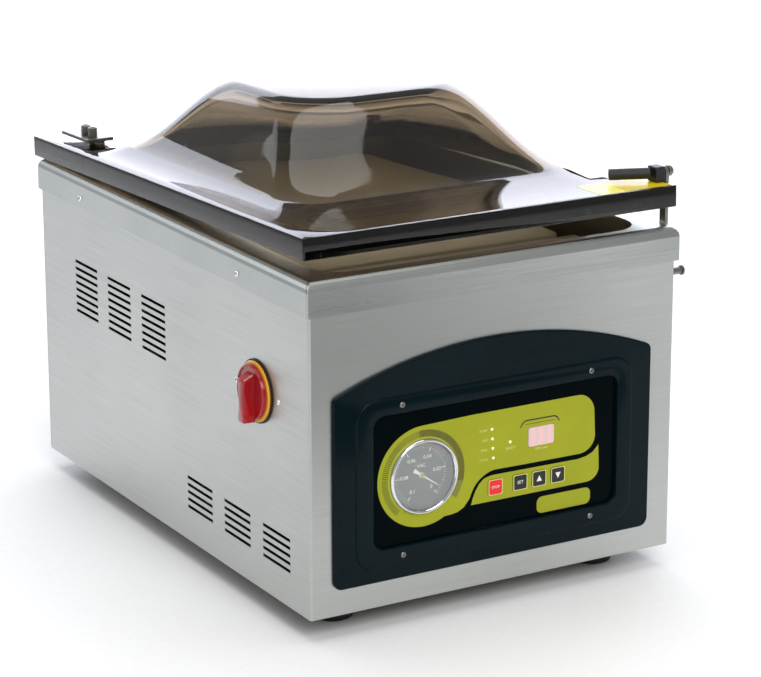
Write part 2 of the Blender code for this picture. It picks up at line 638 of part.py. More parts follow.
def build_needle(dial, finish, root):
    """A pointer with a broad tail and a round hub on a short stub shaft, over the dial."""
    pointer_front, pointer_back = dial - 0.0021, dial - 0.0015
    turn = math.radians(NEEDLE_REST_ANGLE)
    shape = [(-NEEDLE_TAIL, -0.0018), (-0.001, -0.0008), (NEEDLE_LENGTH, -0.0002), (NEEDLE_LENGTH, 0.0002),
             (-0.001, 0.0008), (-NEEDLE_TAIL, 0.0018)]
    outline = spin(shape, turn, (GAUGE_X, GAUGE_Z))
    pivot = (GAUGE_X, pointer_back, GAUGE_Z)
    needle = prism("gauge_needle", outline, "Y", pointer_front, pointer_back, finish, root, origin=pivot)
    hub = [(0.0020, pointer_front - 0.0008), (0.0024, pointer_front - 0.0003), (0.0024, pointer_back),
           (0.0010, pointer_back), (0.0010, dial - GAP)]
    return join(needle, turned("needle_hub", hub, "Y", (GAUGE_X, GAUGE_Z), None, root, 16))


# ---- Main switch on the left side
def grip_outline(top, half, waist):
    """A bar with a waist, from its top end down to the knob's lower edge."""
    middle = (top - GRIP_BOTTOM) / 2
    span = (top + GRIP_BOTTOM) / 2
    side = []
    for i in range(7):
        z = -GRIP_BOTTOM + i * span / 3
        side.append((waist + (half - waist) * ((z - middle) / span) ** 2, z))
    return ([(SWITCH_Y + w, SWITCH_Z + z) for w, z in side]
            + [(SWITCH_Y - w, SWITCH_Z + z) for w, z in reversed(side)])


def build_knob(knob_in, shaft_end, finish, root):
    """A round base with a sunk face and a rim, a grip across it and the shaft behind."""
    centre = (SWITCH_Y, SWITCH_Z)
    knob_out = knob_in - KNOB_BASE
    inner = KNOB_RADIUS - KNOB_RIM
    profile = [(SHAFT_RADIUS, shaft_end), (SHAFT_RADIUS, knob_in), (KNOB_RADIUS, knob_in),
               (KNOB_RADIUS, knob_out + 0.0006), (KNOB_RADIUS - 0.0006, knob_out), (inner, knob_out),
               (inner - 0.0004, knob_out + KNOB_SINK)]
    knob = turned("switch_knob", profile, "X", centre, finish, root, 32, origin=(knob_in, *centre))
    half, waist = GRIP_WIDTH / 2, GRIP_WAIST / 2
    rings = []
    for along, lean, narrow in ((knob_out + 0.0020, 0, 0), (knob_out - GRIP_RISE + 0.001, GRIP_SLOPE, 0.0007),
                                (knob_out - GRIP_RISE, GRIP_SLOPE + 0.001, 0.0017)):
        rings.append([(along, y, z) for y, z in grip_outline(GRIP_TOP - lean, half - narrow, waist - narrow)])
    return join(knob, loft("knob_grip", rings, None, root))


def build_switch(looks, root):
    centre = (SWITCH_Y, SWITCH_Z)
    face = -HALF_WIDTH
    bore = SHAFT_RADIUS + SHAFT_CLEARANCE
    seat = face - GAP
    gasket_out = seat - 0.001
    turned("switch_gasket", [(bore, seat), (SWITCH_GASKET_RADIUS, seat), (SWITCH_GASKET_RADIUS, gasket_out),
                             (bore, gasket_out)], "X", centre, looks["rubber"], root, 32, ring_closed=True)
    plate_in = gasket_out - GAP
    plate_out = plate_in - SWITCH_PLATE_THICKNESS
    plate = [(bore, plate_in), (SWITCH_PLATE_RADIUS, plate_in), (SWITCH_PLATE_RADIUS, plate_out + 0.0006),
             (SWITCH_PLATE_RADIUS - 0.0006, plate_out), (bore, plate_out)]
    turned("switch_plate", plate, "X", centre, looks["yellow"], root, 32, ring_closed=True)
    body_face = face + SHEET + GAP
    shaft_end = body_face + 0.020
    build_knob(plate_out - GAP, shaft_end, looks["red"], root)
    half = 0.022
    body = block("switch_body", (body_face, SWITCH_Y - half, SWITCH_Z - half),
                 (body_face + 0.045, SWITCH_Y + half, SWITCH_Z + half), looks["black"], root, 0.0015)
    hole = [(SHAFT_RADIUS + SEAL_FIT, body_face - 0.01), (SHAFT_RADIUS + SEAL_FIT, shaft_end + 0.002)]
    return cut(body, turned("switch_bore", hole, "X", centre, None, root))


# ---- Working parts inside the cabinet
def build_pump(looks, root):
    x0, y0 = PUMP_X, CABINET_DEPTH - PUMP_REAR - PUMP_SIZE[1]
    z0 = PAN_TOP
    x1, y1, z1 = x0 + PUMP_SIZE[0], y0 + PUMP_SIZE[1], z0 + PUMP_SIZE[2]
    pump = block("vacuum_pump", (x0, y0, z0), (x1, y1, z1), looks["casting"], root, 0.004)
    fins = []
    for k in range(PUMP_FINS):
        y = y0 + 0.018 + k * PUMP_FIN_PITCH
        fins.append(rectangle((x0 - PUMP_FIN_DEPTH, x0 + PUMP_FIN_DEPTH, y, y + PUMP_FIN_GAP)))
    cut(pump, many_prisms("pump_fin_gaps", fins, "Z", z0 + 0.015, z1 + 0.01, root))
    middle_x, middle_z = (x0 + x1) / 2, z0 + MOTOR_RADIUS + 0.006
    end = y0 - GAP
    motor = [(MOTOR_RADIUS - 0.006, end - MOTOR_LENGTH), (MOTOR_RADIUS - 0.002, end - MOTOR_LENGTH + 0.004)]
    for k in range(3):
        y = end - MOTOR_LENGTH + 0.020 + k * MOTOR_BAND_PITCH
        motor += [(MOTOR_RADIUS - 0.002, y), (MOTOR_RADIUS, y + 0.001), (MOTOR_RADIUS, y + 0.012),
                  (MOTOR_RADIUS - 0.002, y + 0.013)]
    motor += [(MOTOR_RADIUS - 0.002, end)]
    turned("pump_motor", motor, "Y", (middle_x, middle_z), looks["casting"], root, 20)
    return Vector((middle_x, y1 - 0.030, z1 + GAP))


def smooth_route(points, steps):
    """A curve that passes through every point, straight at both ends."""
    ends = [points[0] * 2 - points[1]] + points + [points[-1] * 2 - points[-2]]
    route = []
    for p0, p1, p2, p3 in zip(ends, ends[1:], ends[2:], ends[3:]):
        for i in range(steps):
            t = i / steps
            route.append(0.5 * (2 * p1 + (p2 - p0) * t + (2 * p0 - 5 * p1 + 4 * p2 - p3) * t**2
                                + (3 * p1 - p0 - 3 * p2 + p3) * t**3))
    return route + [points[-1]]


def build_hose(start, end, looks, root):
    """The suction hose, from the fitting behind the chamber down to the pump's top."""
    a, d = Vector(start), Vector(end)
    behind, over = Vector((0, HOSE_RUN, 0)), Vector((0, 0, HOSE_RUN))
    points = [a, a + behind, a + behind + Vector((0.006, 0.010, -0.035)), (a + d) / 2 + Vector((0, 0.060, -0.008)),
              d + over + Vector((0, 0.025, 0.010)), d + over, d + over / 2, d]
    path = bpy.data.curves.new("suction_hose", "CURVE")
    path.dimensions = "3D"
    path.bevel_depth = HOSE_RADIUS
    path.bevel_resolution = 2
    path.use_fill_caps = True
    route = smooth_route(points, 3)
    spline = path.splines.new("POLY")
    spline.points.add(len(route) - 1)
    for point, at in zip(spline.points, route):
        point.co = (*at, 1.0)
    path.materials.append(looks["rubber"])
    hose = bpy.data.objects.new("suction_hose", path)
    bpy.context.scene.collection.objects.link(hose)
    hose.parent = root
    return hose


def build_services(looks, root):
    radius, neck = FILTER_RADIUS, 0.008
    rear = CABINET_DEPTH - FILTER_REAR
    front = rear - FILTER_LENGTH
    canister = [(radius - 0.004, front), (radius, front + 0.004), (radius, rear - 0.004), (radius - 0.004, rear),
                (neck, rear), (neck, rear + 0.008)]
    turned("exhaust_filter", canister, "Y", (HALF_WIDTH - FILTER_X_INSET, FILTER_Z), looks["black"], root, 20)
    low = Vector((VALVE_INSET - HALF_WIDTH, CABINET_DEPTH - VALVE_REAR, VALVE_Z))
    high = low + Vector(VALVE_SIZE)
    valve = block("solenoid_valve", low, high, looks["black"], root, 0.002)
    stem = [(VALVE_STEM_RADIUS, high.z - 0.010), (VALVE_STEM_RADIUS, VALVE_STEM_TOP - 0.005),
            (VALVE_STEM_RADIUS - 0.003, VALVE_STEM_TOP)]
    join(valve, turned("valve_stem", stem, "Z", ((low.x + high.x) / 2, (low.y + high.y) / 2), None, root, 12))
    low = Vector((CORE_INSET - HALF_WIDTH, CORE_FRONT, PAN_TOP))
    high = low + Vector(CORE_SIZE)
    core = block("transformer", low, high, looks["casting"], root, 0.002)
    side, end, cover = COIL_MARGIN
    join(core, block("transformer_coil", (low.x + side, low.y - end, low.z + cover),
                     (high.x - side, high.y + end, high.z - cover), None, root, 0.004))


def build_fan(looks, root):
    half = FAN_SIZE / 2
    rear = CABINET_DEPTH - SHEET - GAP
    front = rear - FAN_DEPTH
    frame = prism("fan_frame", rounded_rect((FAN_X - half, FAN_X + half, FAN_Z - half, FAN_Z + half), 0.006, 2),
                  "Y", front, rear, looks["black"], root)
    cut(frame, turned("fan_bore", [(half - 0.002, front - 0.01), (half - 0.002, rear - FAN_WALL)], "Y",
                      (FAN_X, FAN_Z), None, root))
    spokes = [circle(FAN_X + 0.027 * math.cos(a), FAN_Z + 0.027 * math.sin(a), 0.0095, 10)
              for a in arc(45, 315, 3)]
    cut(frame, many_prisms("fan_outlets", spokes, "Y", rear - 0.01, rear + 0.01, root))
    hub_back = rear - FAN_WALL - GAP
    hub = [(FAN_HUB_RADIUS, hub_back), (FAN_HUB_RADIUS, front + 0.001), (FAN_HUB_RADIUS - 0.002, front)]
    rotor = turned("fan_rotor", hub, "Y", (FAN_X, FAN_Z), looks["black"], root, 20, origin=(FAN_X, front, FAN_Z))
    blade = [(0.010, -0.004), (0.034, -0.010), (0.036, 0.002), (0.010, 0.005)]
    blades = [spin(blade, turn, (FAN_X, FAN_Z)) for turn in arc(0, 288, 4)]
    return join(rotor, many_prisms("fan_blades", blades, "Y", front + 0.006, front + 0.009, root))


def build_inlet(looks, root):
    """A three-pin appliance inlet, its flange outside the rear panel."""
    x, z, w, h = INLET_X, INLET_Z, INLET_WIDTH / 2, INLET_HEIGHT / 2
    outside = CABINET_DEPTH + GAP
    side, up = INLET_FLANGE
    plate = rounded_rect((x - w - side, x + w + side, z - h - up, z + h + up), 0.003, 2)
    flange = prism("power_inlet", plate, "Y", outside, outside + 0.002, looks["black"], root)
    join(flange, prism("inlet_body", rounded_rect((x - w, x + w, z - h, z + h), 0.002, 1), "Y",
                       outside - INLET_DEPTH, outside + 0.001, None, root))
    pocket = rounded_rect((x - w + 0.010, x + w - 0.010, z - h + 0.005, z + h - 0.005), 0.004, 2)
    cut(flange, prism("inlet_pocket", pocket, "Y", outside - INLET_DEPTH + 0.004, outside + 0.01, None, root))
    pins = [rectangle((x + dx - 0.0022, x + dx + 0.0022, z + dz - 0.001, z + dz + 0.001)) for dx, dz in INLET_PINS]
    pin_back, pin_front = outside - INLET_DEPTH + 0.002, outside - 0.003
    return join(flange, many_prisms("inlet_pins", pins, "Y", pin_back, pin_front, root))


# ---- Sealing gear and filler boards in the chamber
def build_seal_bar(looks, root):
    tape_top = SEAL_BAR_TOP
    top = tape_top - SEAL_TAPE - GAP
    bottom = top - SEAL_BAR_HEIGHT
    half, wide = SEAL_BAR_LENGTH / 2, SEAL_BAR_WIDTH / 2
    pivot = (0, SEAL_BAR_Y, bottom)
    bar = block("seal_bar", (-half, SEAL_BAR_Y - wide, bottom), (half, SEAL_BAR_Y + wide, top),
                looks["aluminium"], root, 0.0008, origin=pivot)
    cylinder_top = CHAMBER_FLOOR + GAP + SEAL_CYLINDER_HEIGHT
    rod_end = CHAMBER_FLOOR + 0.006
    for side, sign in (("left", -1), ("right", 1)):
        centre = (sign * SEAL_ROD_X, SEAL_BAR_Y)
        rod = [(SEAL_ROD_RADIUS, rod_end), (SEAL_ROD_RADIUS, bottom + 0.004)]
        join(bar, turned(f"seal_rod_{side}", rod, "Z", centre, None, root, 16))
        bore = SEAL_ROD_RADIUS + SEAL_FIT
        cup = [(bore, rod_end - 0.002), (bore, cylinder_top), (SEAL_CYLINDER_RADIUS, cylinder_top),
               (SEAL_CYLINDER_RADIUS, CHAMBER_FLOOR + GAP)]
        turned(f"seal_cylinder_{side}", cup, "Z", centre, looks["aluminium"], root, 20)
    return block("seal_tape", (-half + 0.001, SEAL_BAR_Y - wide + 0.001, tape_top - SEAL_TAPE),
                 (half - 0.001, SEAL_BAR_Y + wide - 0.001, tape_top), looks["tape"], root)


def build_boards(looks, root):
    half = CHAMBER_WIDTH / 2 - BOARD_MARGIN
    limits = (-half, half, BOARD_FRONT, CHAMBER_REAR - BOARD_REAR_MARGIN)
    for i, name in enumerate(("filler_board_lower", "filler_board_upper")):
        low = CHAMBER_FLOOR + GAP + i * (BOARD_THICKNESS + GAP)
        board = prism(name, rounded_rect(limits, BOARD_CORNER, 4), "Z", low, low + BOARD_THICKNESS,
                      looks["board_white"], root, origin=(0, BOARD_FRONT, low))
        soften(board, 0.0012, 1)


# ---- Lid, modelled closed and flat, then tipped open by its pivot
def mix(a, b, share):
    return tuple(p + (q - p) * share for p, q in zip(a, b))


def inset(limits, margins):
    return tuple(limit + margin * sign for limit, margin, sign in zip(limits, margins, (1, -1, 1, -1)))


def dome_side():
    """(share of the way from the crease to the top, height over the slab) up the dome's side."""
    foot, points = DOME_FLARE_RISE / DOME_HEIGHT, []
    for i in range(DOME_STEPS + 1):
        t = i / DOME_STEPS
        rise = (foot * (1 + 2 * t) * (1 - t) ** 2 + DOME_FOOT_SLOPE * t * (1 - t) ** 2
                + t * t * (3 - 2 * t) - DOME_TOP_SLOPE * t * t * (1 - t))
        points.append((t, DOME_HEIGHT * rise))
    return points


def lid_limits():
    return (-LID_WIDTH / 2, LID_WIDTH / 2, LID_FRONT, LID_REAR)


def lid_ring(limits, radius, z, grow=0.0):
    """One ring of the lid; its corners shrink where the sides leave no room for them."""
    room = min(limits[1] - limits[0], limits[3] - limits[2]) / 2 - 0.002
    return [(x, y, z) for x, y in rounded_rect(limits, min(radius, room), LID_CORNER_STEPS, grow)]


def build_lid(looks, lid, pivot):
    rings = []
    crease = inset(chamber_limits(), DOME_CREASE)
    top = inset(crease, DOME_SHOULDER)
    flare = inset(lid_limits(), DOME_FLARE)
    for t, height in reversed(dome_side()):
        radius = DOME_CREASE_CORNER + (DOME_TOP_CORNER - DOME_CREASE_CORNER) * t
        rings.append(lid_ring(mix(crease, top, t), radius, LID_TOP + height))
    for i in range(FLARE_STEPS - 1, -1, -1):
        t = i / FLARE_STEPS
        radius = DOME_FLARE_CORNER + (DOME_CREASE_CORNER - DOME_FLARE_CORNER) * t
        rings.append(lid_ring(mix(flare, crease, t), radius, LID_TOP + DOME_FLARE_RISE * t * t))
    for grow, z in ((-0.0006, LID_TOP), (0, LID_TOP - 0.0006), (0, LID_BOTTOM + 0.0006), (-0.0006, LID_BOTTOM)):
        rings.append(lid_ring(lid_limits(), 0.002, z, grow))
    wall = DOME_WALL
    mouth = inset(crease, (wall,) * 4)
    mouth_radius = DOME_CREASE_CORNER - wall
    rings.append(lid_ring(mouth, mouth_radius, LID_BOTTOM, 0.003))
    rings.append(lid_ring(mouth, mouth_radius, LID_BOTTOM + 0.003))
    for t, height in dome_side():
        radius = mouth_radius + (DOME_TOP_CORNER - mouth_radius) * t
        rings.append(lid_ring(mix(mouth, top, t), radius, LID_TOP - wall + height * (1 - 0.6 * wall / DOME_HEIGHT)))
    slab = loft("lid_dome", rings, looks["acrylic"], lid, origin=pivot)
    slab.location = (0, 0, 0)
    gasket_in = rounded_rect(chamber_limits(), CHAMBER_CORNER, 6, GASKET_INSET)
    gasket_out = rounded_rect(chamber_limits(), CHAMBER_CORNER, 6, GASKET_INSET + GASKET_WIDTH)
    groove_in = rounded_rect(chamber_limits(), CHAMBER_CORNER, 6, GASKET_INSET - GAP)
    groove_out = rounded_rect(chamber_limits(), CHAMBER_CORNER, 6, GASKET_INSET + GASKET_WIDTH + GAP)
    roof = LID_BOTTOM + GASKET_DEPTH
    seat = roof - GAP
    lip = LID_BOTTOM - GASKET_PROUD
    groove = [(groove_in, -1), (groove_in, 0), (groove_out, 0), (groove_out, -1)]
    rings = [[(x, y, roof if level == 0 else LID_BOTTOM - 0.005) for x, y in outline] for outline, level in groove]
    cut(slab, hang(loft("gasket_groove", rings, None, lid, ring_closed=True), pivot))
    rings = [[(x, y, z) for x, y in outline]
             for outline, z in ((gasket_in, lip), (gasket_in, seat), (gasket_out, seat), (gasket_out, lip))]
    hang(loft("lid_gasket", rings, looks["rubber"], lid, ring_closed=True), pivot)
    return slab


def hang(obj, pivot):
    """Moves a piece modelled in the closed lid's place under the pivot that tips the lid."""
    obj.location = obj.location - Vector(pivot)
    return obj


def build_seal_pad(looks, lid, pivot):
    half, wide = SEAL_BAR_LENGTH / 2, SEAL_BAR_WIDTH / 2
    hang(block("seal_pad", (-half, SEAL_BAR_Y - wide, LID_BOTTOM - PAD_DROP),
               (half, SEAL_BAR_Y + wide, LID_BOTTOM - GAP), looks["silicone"], lid, 0.001), pivot)


def build_hinge(side, sign, looks, root, lid, slab, pivot):
    x = sign * HINGE_X
    half = HINGE_ARM_WIDTH / 2
    y, z = HINGE_AXIS_Y, HINGE_AXIS_Z
    arm_top = LID_BOTTOM + HINGE_ARM_THICKNESS
    pocket = block(f"arm_pocket_{side}", (x - half - GAP, HINGE_ARM_FRONT - GAP, LID_BOTTOM - 0.01),
                   (x + half + GAP, LID_REAR + 0.01, arm_top + GAP), None, lid)
    cut(slab, hang(pocket, pivot))
    arm = block(f"hinge_arm_{side}", (x - half, HINGE_ARM_FRONT, LID_BOTTOM), (x + half, y, arm_top),
                looks["steel"], lid)
    knuckle = [(KNUCKLE_RADIUS, x - half), (KNUCKLE_RADIUS, x + half)]
    join(arm, hang(turned(f"knuckle_{side}", knuckle, "X", (y, z), None, lid), pivot))
    bore = [(HINGE_PIN_RADIUS + HINGE_FIT, x - half - 0.01), (HINGE_PIN_RADIUS + HINGE_FIT, x + half + 0.01)]
    cut(arm, hang(turned(f"knuckle_bore_{side}", bore, "X", (y, z), None, lid, 20), pivot))
    hang(arm, pivot)
    build_bracket(side, x, half, looks, root)
    plate_x = sign * HINGE_PLATE_X
    wide = HINGE_PLATE_WIDTH / 2
    low = LID_TOP + HINGE_PLATE_LIFT
    plate = block(f"hinge_plate_{side}", (plate_x - wide, HINGE_PLATE_FRONT, low),
                  (plate_x + wide, HINGE_PLATE_FRONT + HINGE_PLATE_LENGTH, low + HINGE_PLATE_THICKNESS),
                  looks["steel"], lid, 0.0004)
    for k, at in enumerate((0.012, 0.026)):
        washer = [(0.0045, LID_TOP + GAP), (0.0045, low + 0.001)]
        centre = (plate_x - sign * 0.005, HINGE_PLATE_FRONT + at)
        join(plate, hang(turned(f"plate_washer_{side}_{k}", washer, "Z", centre, None, lid, 16), pivot))
    hang(plate, pivot)


def build_bracket(side, x, half, looks, root):
    """A plate on the skirt's rear face with two ears, and the pin that they hold."""
    y, z = HINGE_AXIS_Y, HINGE_AXIS_Z
    skirt = CABINET_DEPTH + SKIRT_OVERHANG + GAP
    wide = half + GAP + EAR_THICKNESS
    low = SKIRT_BOTTOM + 0.004
    bracket = block(f"hinge_bracket_{side}", (x - wide, skirt, low), (x + wide, skirt + 0.003, z - 0.0085),
                    looks["steel"], root)
    ear = KNUCKLE_RADIUS
    outline = [(skirt, low), (skirt + 0.006, low), (y + ear, z - 0.001)]
    outline += [(y + ear * math.cos(a), z + ear * math.sin(a)) for a in arc(0, 150, 5)] + [(skirt, z - 0.006)]
    inner = half + GAP
    for k, (near, far) in enumerate(((-wide, -inner), (inner, wide))):
        join(bracket, prism(f"bracket_ear_{side}_{k}", outline, "X", x + near, x + far, None, root))
    hole = [(HINGE_PIN_RADIUS + GAP, x - wide - 0.01), (HINGE_PIN_RADIUS + GAP, x + wide + 0.01)]
    cut(bracket, turned(f"ear_hole_{side}", hole, "X", (y, z), None, root, 20))
    end = x - wide - GAP
    pin = [(0.0042, end - 0.002), (0.0042, end), (HINGE_PIN_RADIUS, end), (HINGE_PIN_RADIUS, x + wide + 0.003)]
    turned(f"hinge_pin_{side}", pin, "X", (y, z), looks["steel"], root, 20)


# ---- Hold-down latch on the lid's front right corner
def build_latch(looks, root, lid, pivot):
    axis_z = LID_TOP + LATCH_RISE
    right = LID_WIDTH / 2
    saddle_left, saddle_right = right - 0.0105, right - 0.001
    half = 0.0065
    saddle = hang(block("latch_saddle", (saddle_left, LATCH_Y - half, LID_TOP + GAP),
                        (saddle_right, LATCH_Y + half, axis_z + 0.0055), looks["black"], lid, 0.001), pivot)
    bolt_hole = [(BOLT_RADIUS + GAP, saddle_left + 0.003), (BOLT_RADIUS + GAP, saddle_right + 0.01)]
    cut(saddle, hang(turned("saddle_hole", bolt_hole, "X", (LATCH_Y, axis_z), None, lid, 16), pivot))
    arm_in, arm_out = LATCH_ARM_X, LATCH_ARM_X + LATCH_ARM_THICKNESS
    bolt = [(BOLT_RADIUS, saddle_left + 0.0035), (BOLT_RADIUS, arm_out + GAP), (BOLT_HEAD_RADIUS, arm_out + GAP),
            (BOLT_HEAD_RADIUS, arm_out + 0.0035), (0.0036, arm_out + 0.0050), (0.0018, arm_out + 0.0056)]
    hang(turned("latch_bolt", bolt, "X", (LATCH_Y, axis_z), looks["steel"], lid, 20), pivot)
    build_handle(saddle_left - GAP, axis_z, looks, lid, pivot)
    build_latch_arm(arm_in, arm_out, axis_z, looks, lid, pivot)
    stud_in = HALF_WIDTH + GAP
    stud = [(STUD_RADIUS, stud_in), (STUD_RADIUS, stud_in + 0.010), (STUD_RADIUS + 0.0012, stud_in + 0.0103),
            (STUD_RADIUS + 0.0012, stud_in + 0.0118), (STUD_RADIUS, stud_in + 0.0125)]
    turned("keeper_stud", stud, "X", (STUD_Y, STUD_Z), looks["steel"], root, 16)


def build_handle(right_end, axis_z, looks, lid, pivot):
    """A sleeved rod that runs inwards over the slab and sweeps back towards the dome."""
    sweep = math.radians(HANDLE_SWEEP)
    along = Vector((-math.cos(sweep), math.sin(sweep), 0))
    across = Vector((math.sin(sweep), math.cos(sweep), 0))
    start = Vector((right_end - HANDLE_RADIUS * math.tan(sweep) - 0.0002, LATCH_Y, axis_z))
    rings = []
    for distance, radius in ((0, HANDLE_RADIUS), (HANDLE_LENGTH, HANDLE_RADIUS),
                             (HANDLE_LENGTH, HANDLE_RADIUS * 0.62), (HANDLE_LENGTH - 0.003, HANDLE_RADIUS * 0.62)):
        centre = start + along * distance
        rings.append([tuple(centre + across * (radius * math.cos(a)) + Vector((0, 0, radius * math.sin(a))))
                      for a in arc(0, 345, 23)])
    hang(loft("latch_handle", rings, looks["rubber"], lid), pivot)


def build_latch_arm(arm_in, arm_out, axis_z, looks, lid, pivot):
    """The flat arm hangs from the bolt, plumb beside the skirt, with a hook notch in its front edge."""
    half = LATCH_ARM_WIDTH / 2
    low = -LATCH_ARM_LENGTH
    outline = [(-half, low + 0.002), (-half + 0.002, low), (half - 0.002, low), (half, low + 0.002)]
    outline += [(half * math.cos(a), half * math.sin(a)) for a in arc(0, 180, 8)]
    arm = prism("latch_arm", outline, "X", arm_in, arm_out, looks["steel"], lid)
    bore = [(BOLT_RADIUS + GAP, arm_in - 0.01), (BOLT_RADIUS + GAP, arm_out + 0.01)]
    hole = turned("arm_hole", bore, "X", (0, 0), None, arm, 16)
    r = NOTCH_RADIUS
    notch_z = -math.hypot(LATCH_Y - STUD_Y, axis_z - STUD_Z)
    notch = [(-2 * half, notch_z + r)]
    notch += [(r * math.sin(a) - 0.001, notch_z + r * math.cos(a)) for a in arc(0, 180, 6)]
    notch += [(-2 * half, notch_z - r)]
    cut(arm, hole, prism("arm_notch", notch, "X", arm_in - 0.01, arm_out + 0.01, None, arm))
    arm.location = Vector((0, LATCH_Y, axis_z)) - Vector(pivot)
    arm.rotation_euler.x = math.radians(LID_REST_ANGLE)
    return arm


def make_looks():
    return {
        "brushed": material("brushed stainless steel", (0.60, 0.61, 0.60), 0.30, 1.0),
        "steel": material("zinc plated steel", (0.52, 0.52, 0.50), 0.28, 1.0),
        "chrome": material("chrome", (0.80, 0.80, 0.80), 0.08, 1.0),
        "aluminium": material("aluminium", (0.70, 0.70, 0.70), 0.35, 1.0),
        "casting": material("painted casting", (0.12, 0.13, 0.14), 0.55, 0.3),
        "rubber": material("black rubber", (0.015, 0.016, 0.017), 0.60),
        "black": material("black moulding", (0.012, 0.013, 0.015), 0.40),
        "bezel": material("gloss blue-black moulding", (0.006, 0.016, 0.020), 0.15),
        "overlay": material("olive green film", (0.30, 0.33, 0.03), 0.35),
        "display": material("pink grey filter", (0.50, 0.38, 0.36), 0.20),
        "board": material("circuit board", (0.02, 0.12, 0.05), 0.50),
        "stop": material("red key", (0.80, 0.02, 0.02), 0.40),
        "button": material("black key", (0.02, 0.02, 0.02), 0.40),
        "white": material("white enamel", (0.80, 0.80, 0.78), 0.40),
        "glass": material("clear glass", (1.0, 1.0, 1.0), 0.02, 0.0, 1.0),
        "yellow": material("yellow plate", (0.90, 0.50, 0.05), 0.40),
        "red": material("red knob", (0.45, 0.0, 0.005), 0.30),
        "tape": material("cream release tape", (0.75, 0.70, 0.50), 0.50),
        "board_white": material("white polyethylene", (0.85, 0.84, 0.74), 0.45),
        "silicone": material("red silicone", (0.60, 0.10, 0.05), 0.55),
        "acrylic": material("smoked acrylic", (0.20, 0.16, 0.08), 0.03, 0.0, 0.9),
    }


def stand_on_ground(root):
    """Moves the root so that the object's box stands centred on the ground plane."""
    bpy.context.view_layer.update()
    graph = bpy.context.evaluated_depsgraph_get()
    corners = []
    for obj in bpy.data.objects:
        if obj.type == "MESH" and not obj.hide_render:
            corners += [obj.matrix_world @ v.co for v in obj.evaluated_get(graph).data.vertices]
    low = [min(c[i] for c in corners) for i in range(3)]
    high = [max(c[i] for c in corners) for i in range(3)]
    root.location = (-(low[0] + high[0]) / 2, -(low[1] + high[1]) / 2, -low[2])


def main():
    clear_scene()
    looks = make_looks()
    root = add_empty("vacuum_sealer", None)
    build_shell(looks["brushed"], root)
    build_base_pan(looks["steel"], root)
    build_rear_panel(looks["brushed"], root)
    build_deck(looks["brushed"], root)
    build_chamber(looks["brushed"], root)
    build_port_cover(looks["board_white"], root)
    build_feet(looks["rubber"], root)
    build_bezel(looks["bezel"], root)
    build_overlay(looks["overlay"], root)
    build_panel_parts(looks, root)
    build_gauge(looks, root)
    build_switch(looks, root)
    pump_inlet = build_pump(looks, root)
    build_hose((PORT_X, CHAMBER_REAR + SHEET + GAP, PORT_Z), pump_inlet, looks, root)
    build_services(looks, root)
    build_fan(looks, root)
    build_inlet(looks, root)
    build_seal_bar(looks, root)
    build_boards(looks, root)
    pivot = (0, HINGE_AXIS_Y, HINGE_AXIS_Z)
    lid = add_empty("lid_pivot", root, pivot)
    slab = build_lid(looks, lid, pivot)
    build_seal_pad(looks, lid, pivot)
    for side, sign in (("left", -1), ("right", 1)):
        build_hinge(side, sign, looks, root, lid, slab, pivot)
    build_latch(looks, root, lid, pivot)
    lid.rotation_euler.x = -math.radians(LID_REST_ANGLE)
    stand_on_ground(root)


main()
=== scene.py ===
import json
import math
import bpy
import bmesh
from mathutils import Matrix, Vector


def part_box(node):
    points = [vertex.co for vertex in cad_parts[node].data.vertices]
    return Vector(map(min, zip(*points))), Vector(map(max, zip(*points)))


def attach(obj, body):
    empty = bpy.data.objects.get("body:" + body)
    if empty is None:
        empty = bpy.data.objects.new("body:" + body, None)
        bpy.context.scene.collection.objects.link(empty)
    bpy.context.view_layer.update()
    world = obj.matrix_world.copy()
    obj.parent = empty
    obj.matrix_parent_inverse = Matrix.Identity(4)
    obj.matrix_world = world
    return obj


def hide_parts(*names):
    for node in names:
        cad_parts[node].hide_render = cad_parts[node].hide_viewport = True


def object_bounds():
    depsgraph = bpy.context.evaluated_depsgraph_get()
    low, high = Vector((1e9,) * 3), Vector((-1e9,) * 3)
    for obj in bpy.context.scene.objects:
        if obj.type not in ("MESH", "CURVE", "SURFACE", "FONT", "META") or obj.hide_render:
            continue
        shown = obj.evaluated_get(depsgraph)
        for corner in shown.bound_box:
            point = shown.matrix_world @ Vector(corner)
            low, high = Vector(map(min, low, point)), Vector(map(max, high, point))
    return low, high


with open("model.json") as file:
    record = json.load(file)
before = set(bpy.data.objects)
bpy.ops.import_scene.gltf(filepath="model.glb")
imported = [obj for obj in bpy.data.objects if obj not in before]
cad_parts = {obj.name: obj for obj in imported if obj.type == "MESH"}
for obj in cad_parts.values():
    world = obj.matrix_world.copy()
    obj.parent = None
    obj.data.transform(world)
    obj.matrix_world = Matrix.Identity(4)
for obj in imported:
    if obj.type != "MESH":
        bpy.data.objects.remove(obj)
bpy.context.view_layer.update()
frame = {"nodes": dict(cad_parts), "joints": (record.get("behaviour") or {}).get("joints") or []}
mm = 0.001
print("frame loaded,", len(frame["nodes"]), "nodes")

# Lengths below are millimetres from the cabinet's front left bottom corner, unless a line says otherwise.
shellLow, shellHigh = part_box("cabinet_shell")
hinge = next(joint for joint in frame["joints"] if joint["name"] == "lid_hinge")
hingePoint = Vector(hinge["pos_m"])


def at(x, y, z):
    return shellLow + Vector((x, y, z)) * mm


# The box of a node, low and high corner, in cabinet millimetres
def corners(node):
    low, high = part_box(node)
    return (low - shellLow) / mm, (high - shellLow) / mm


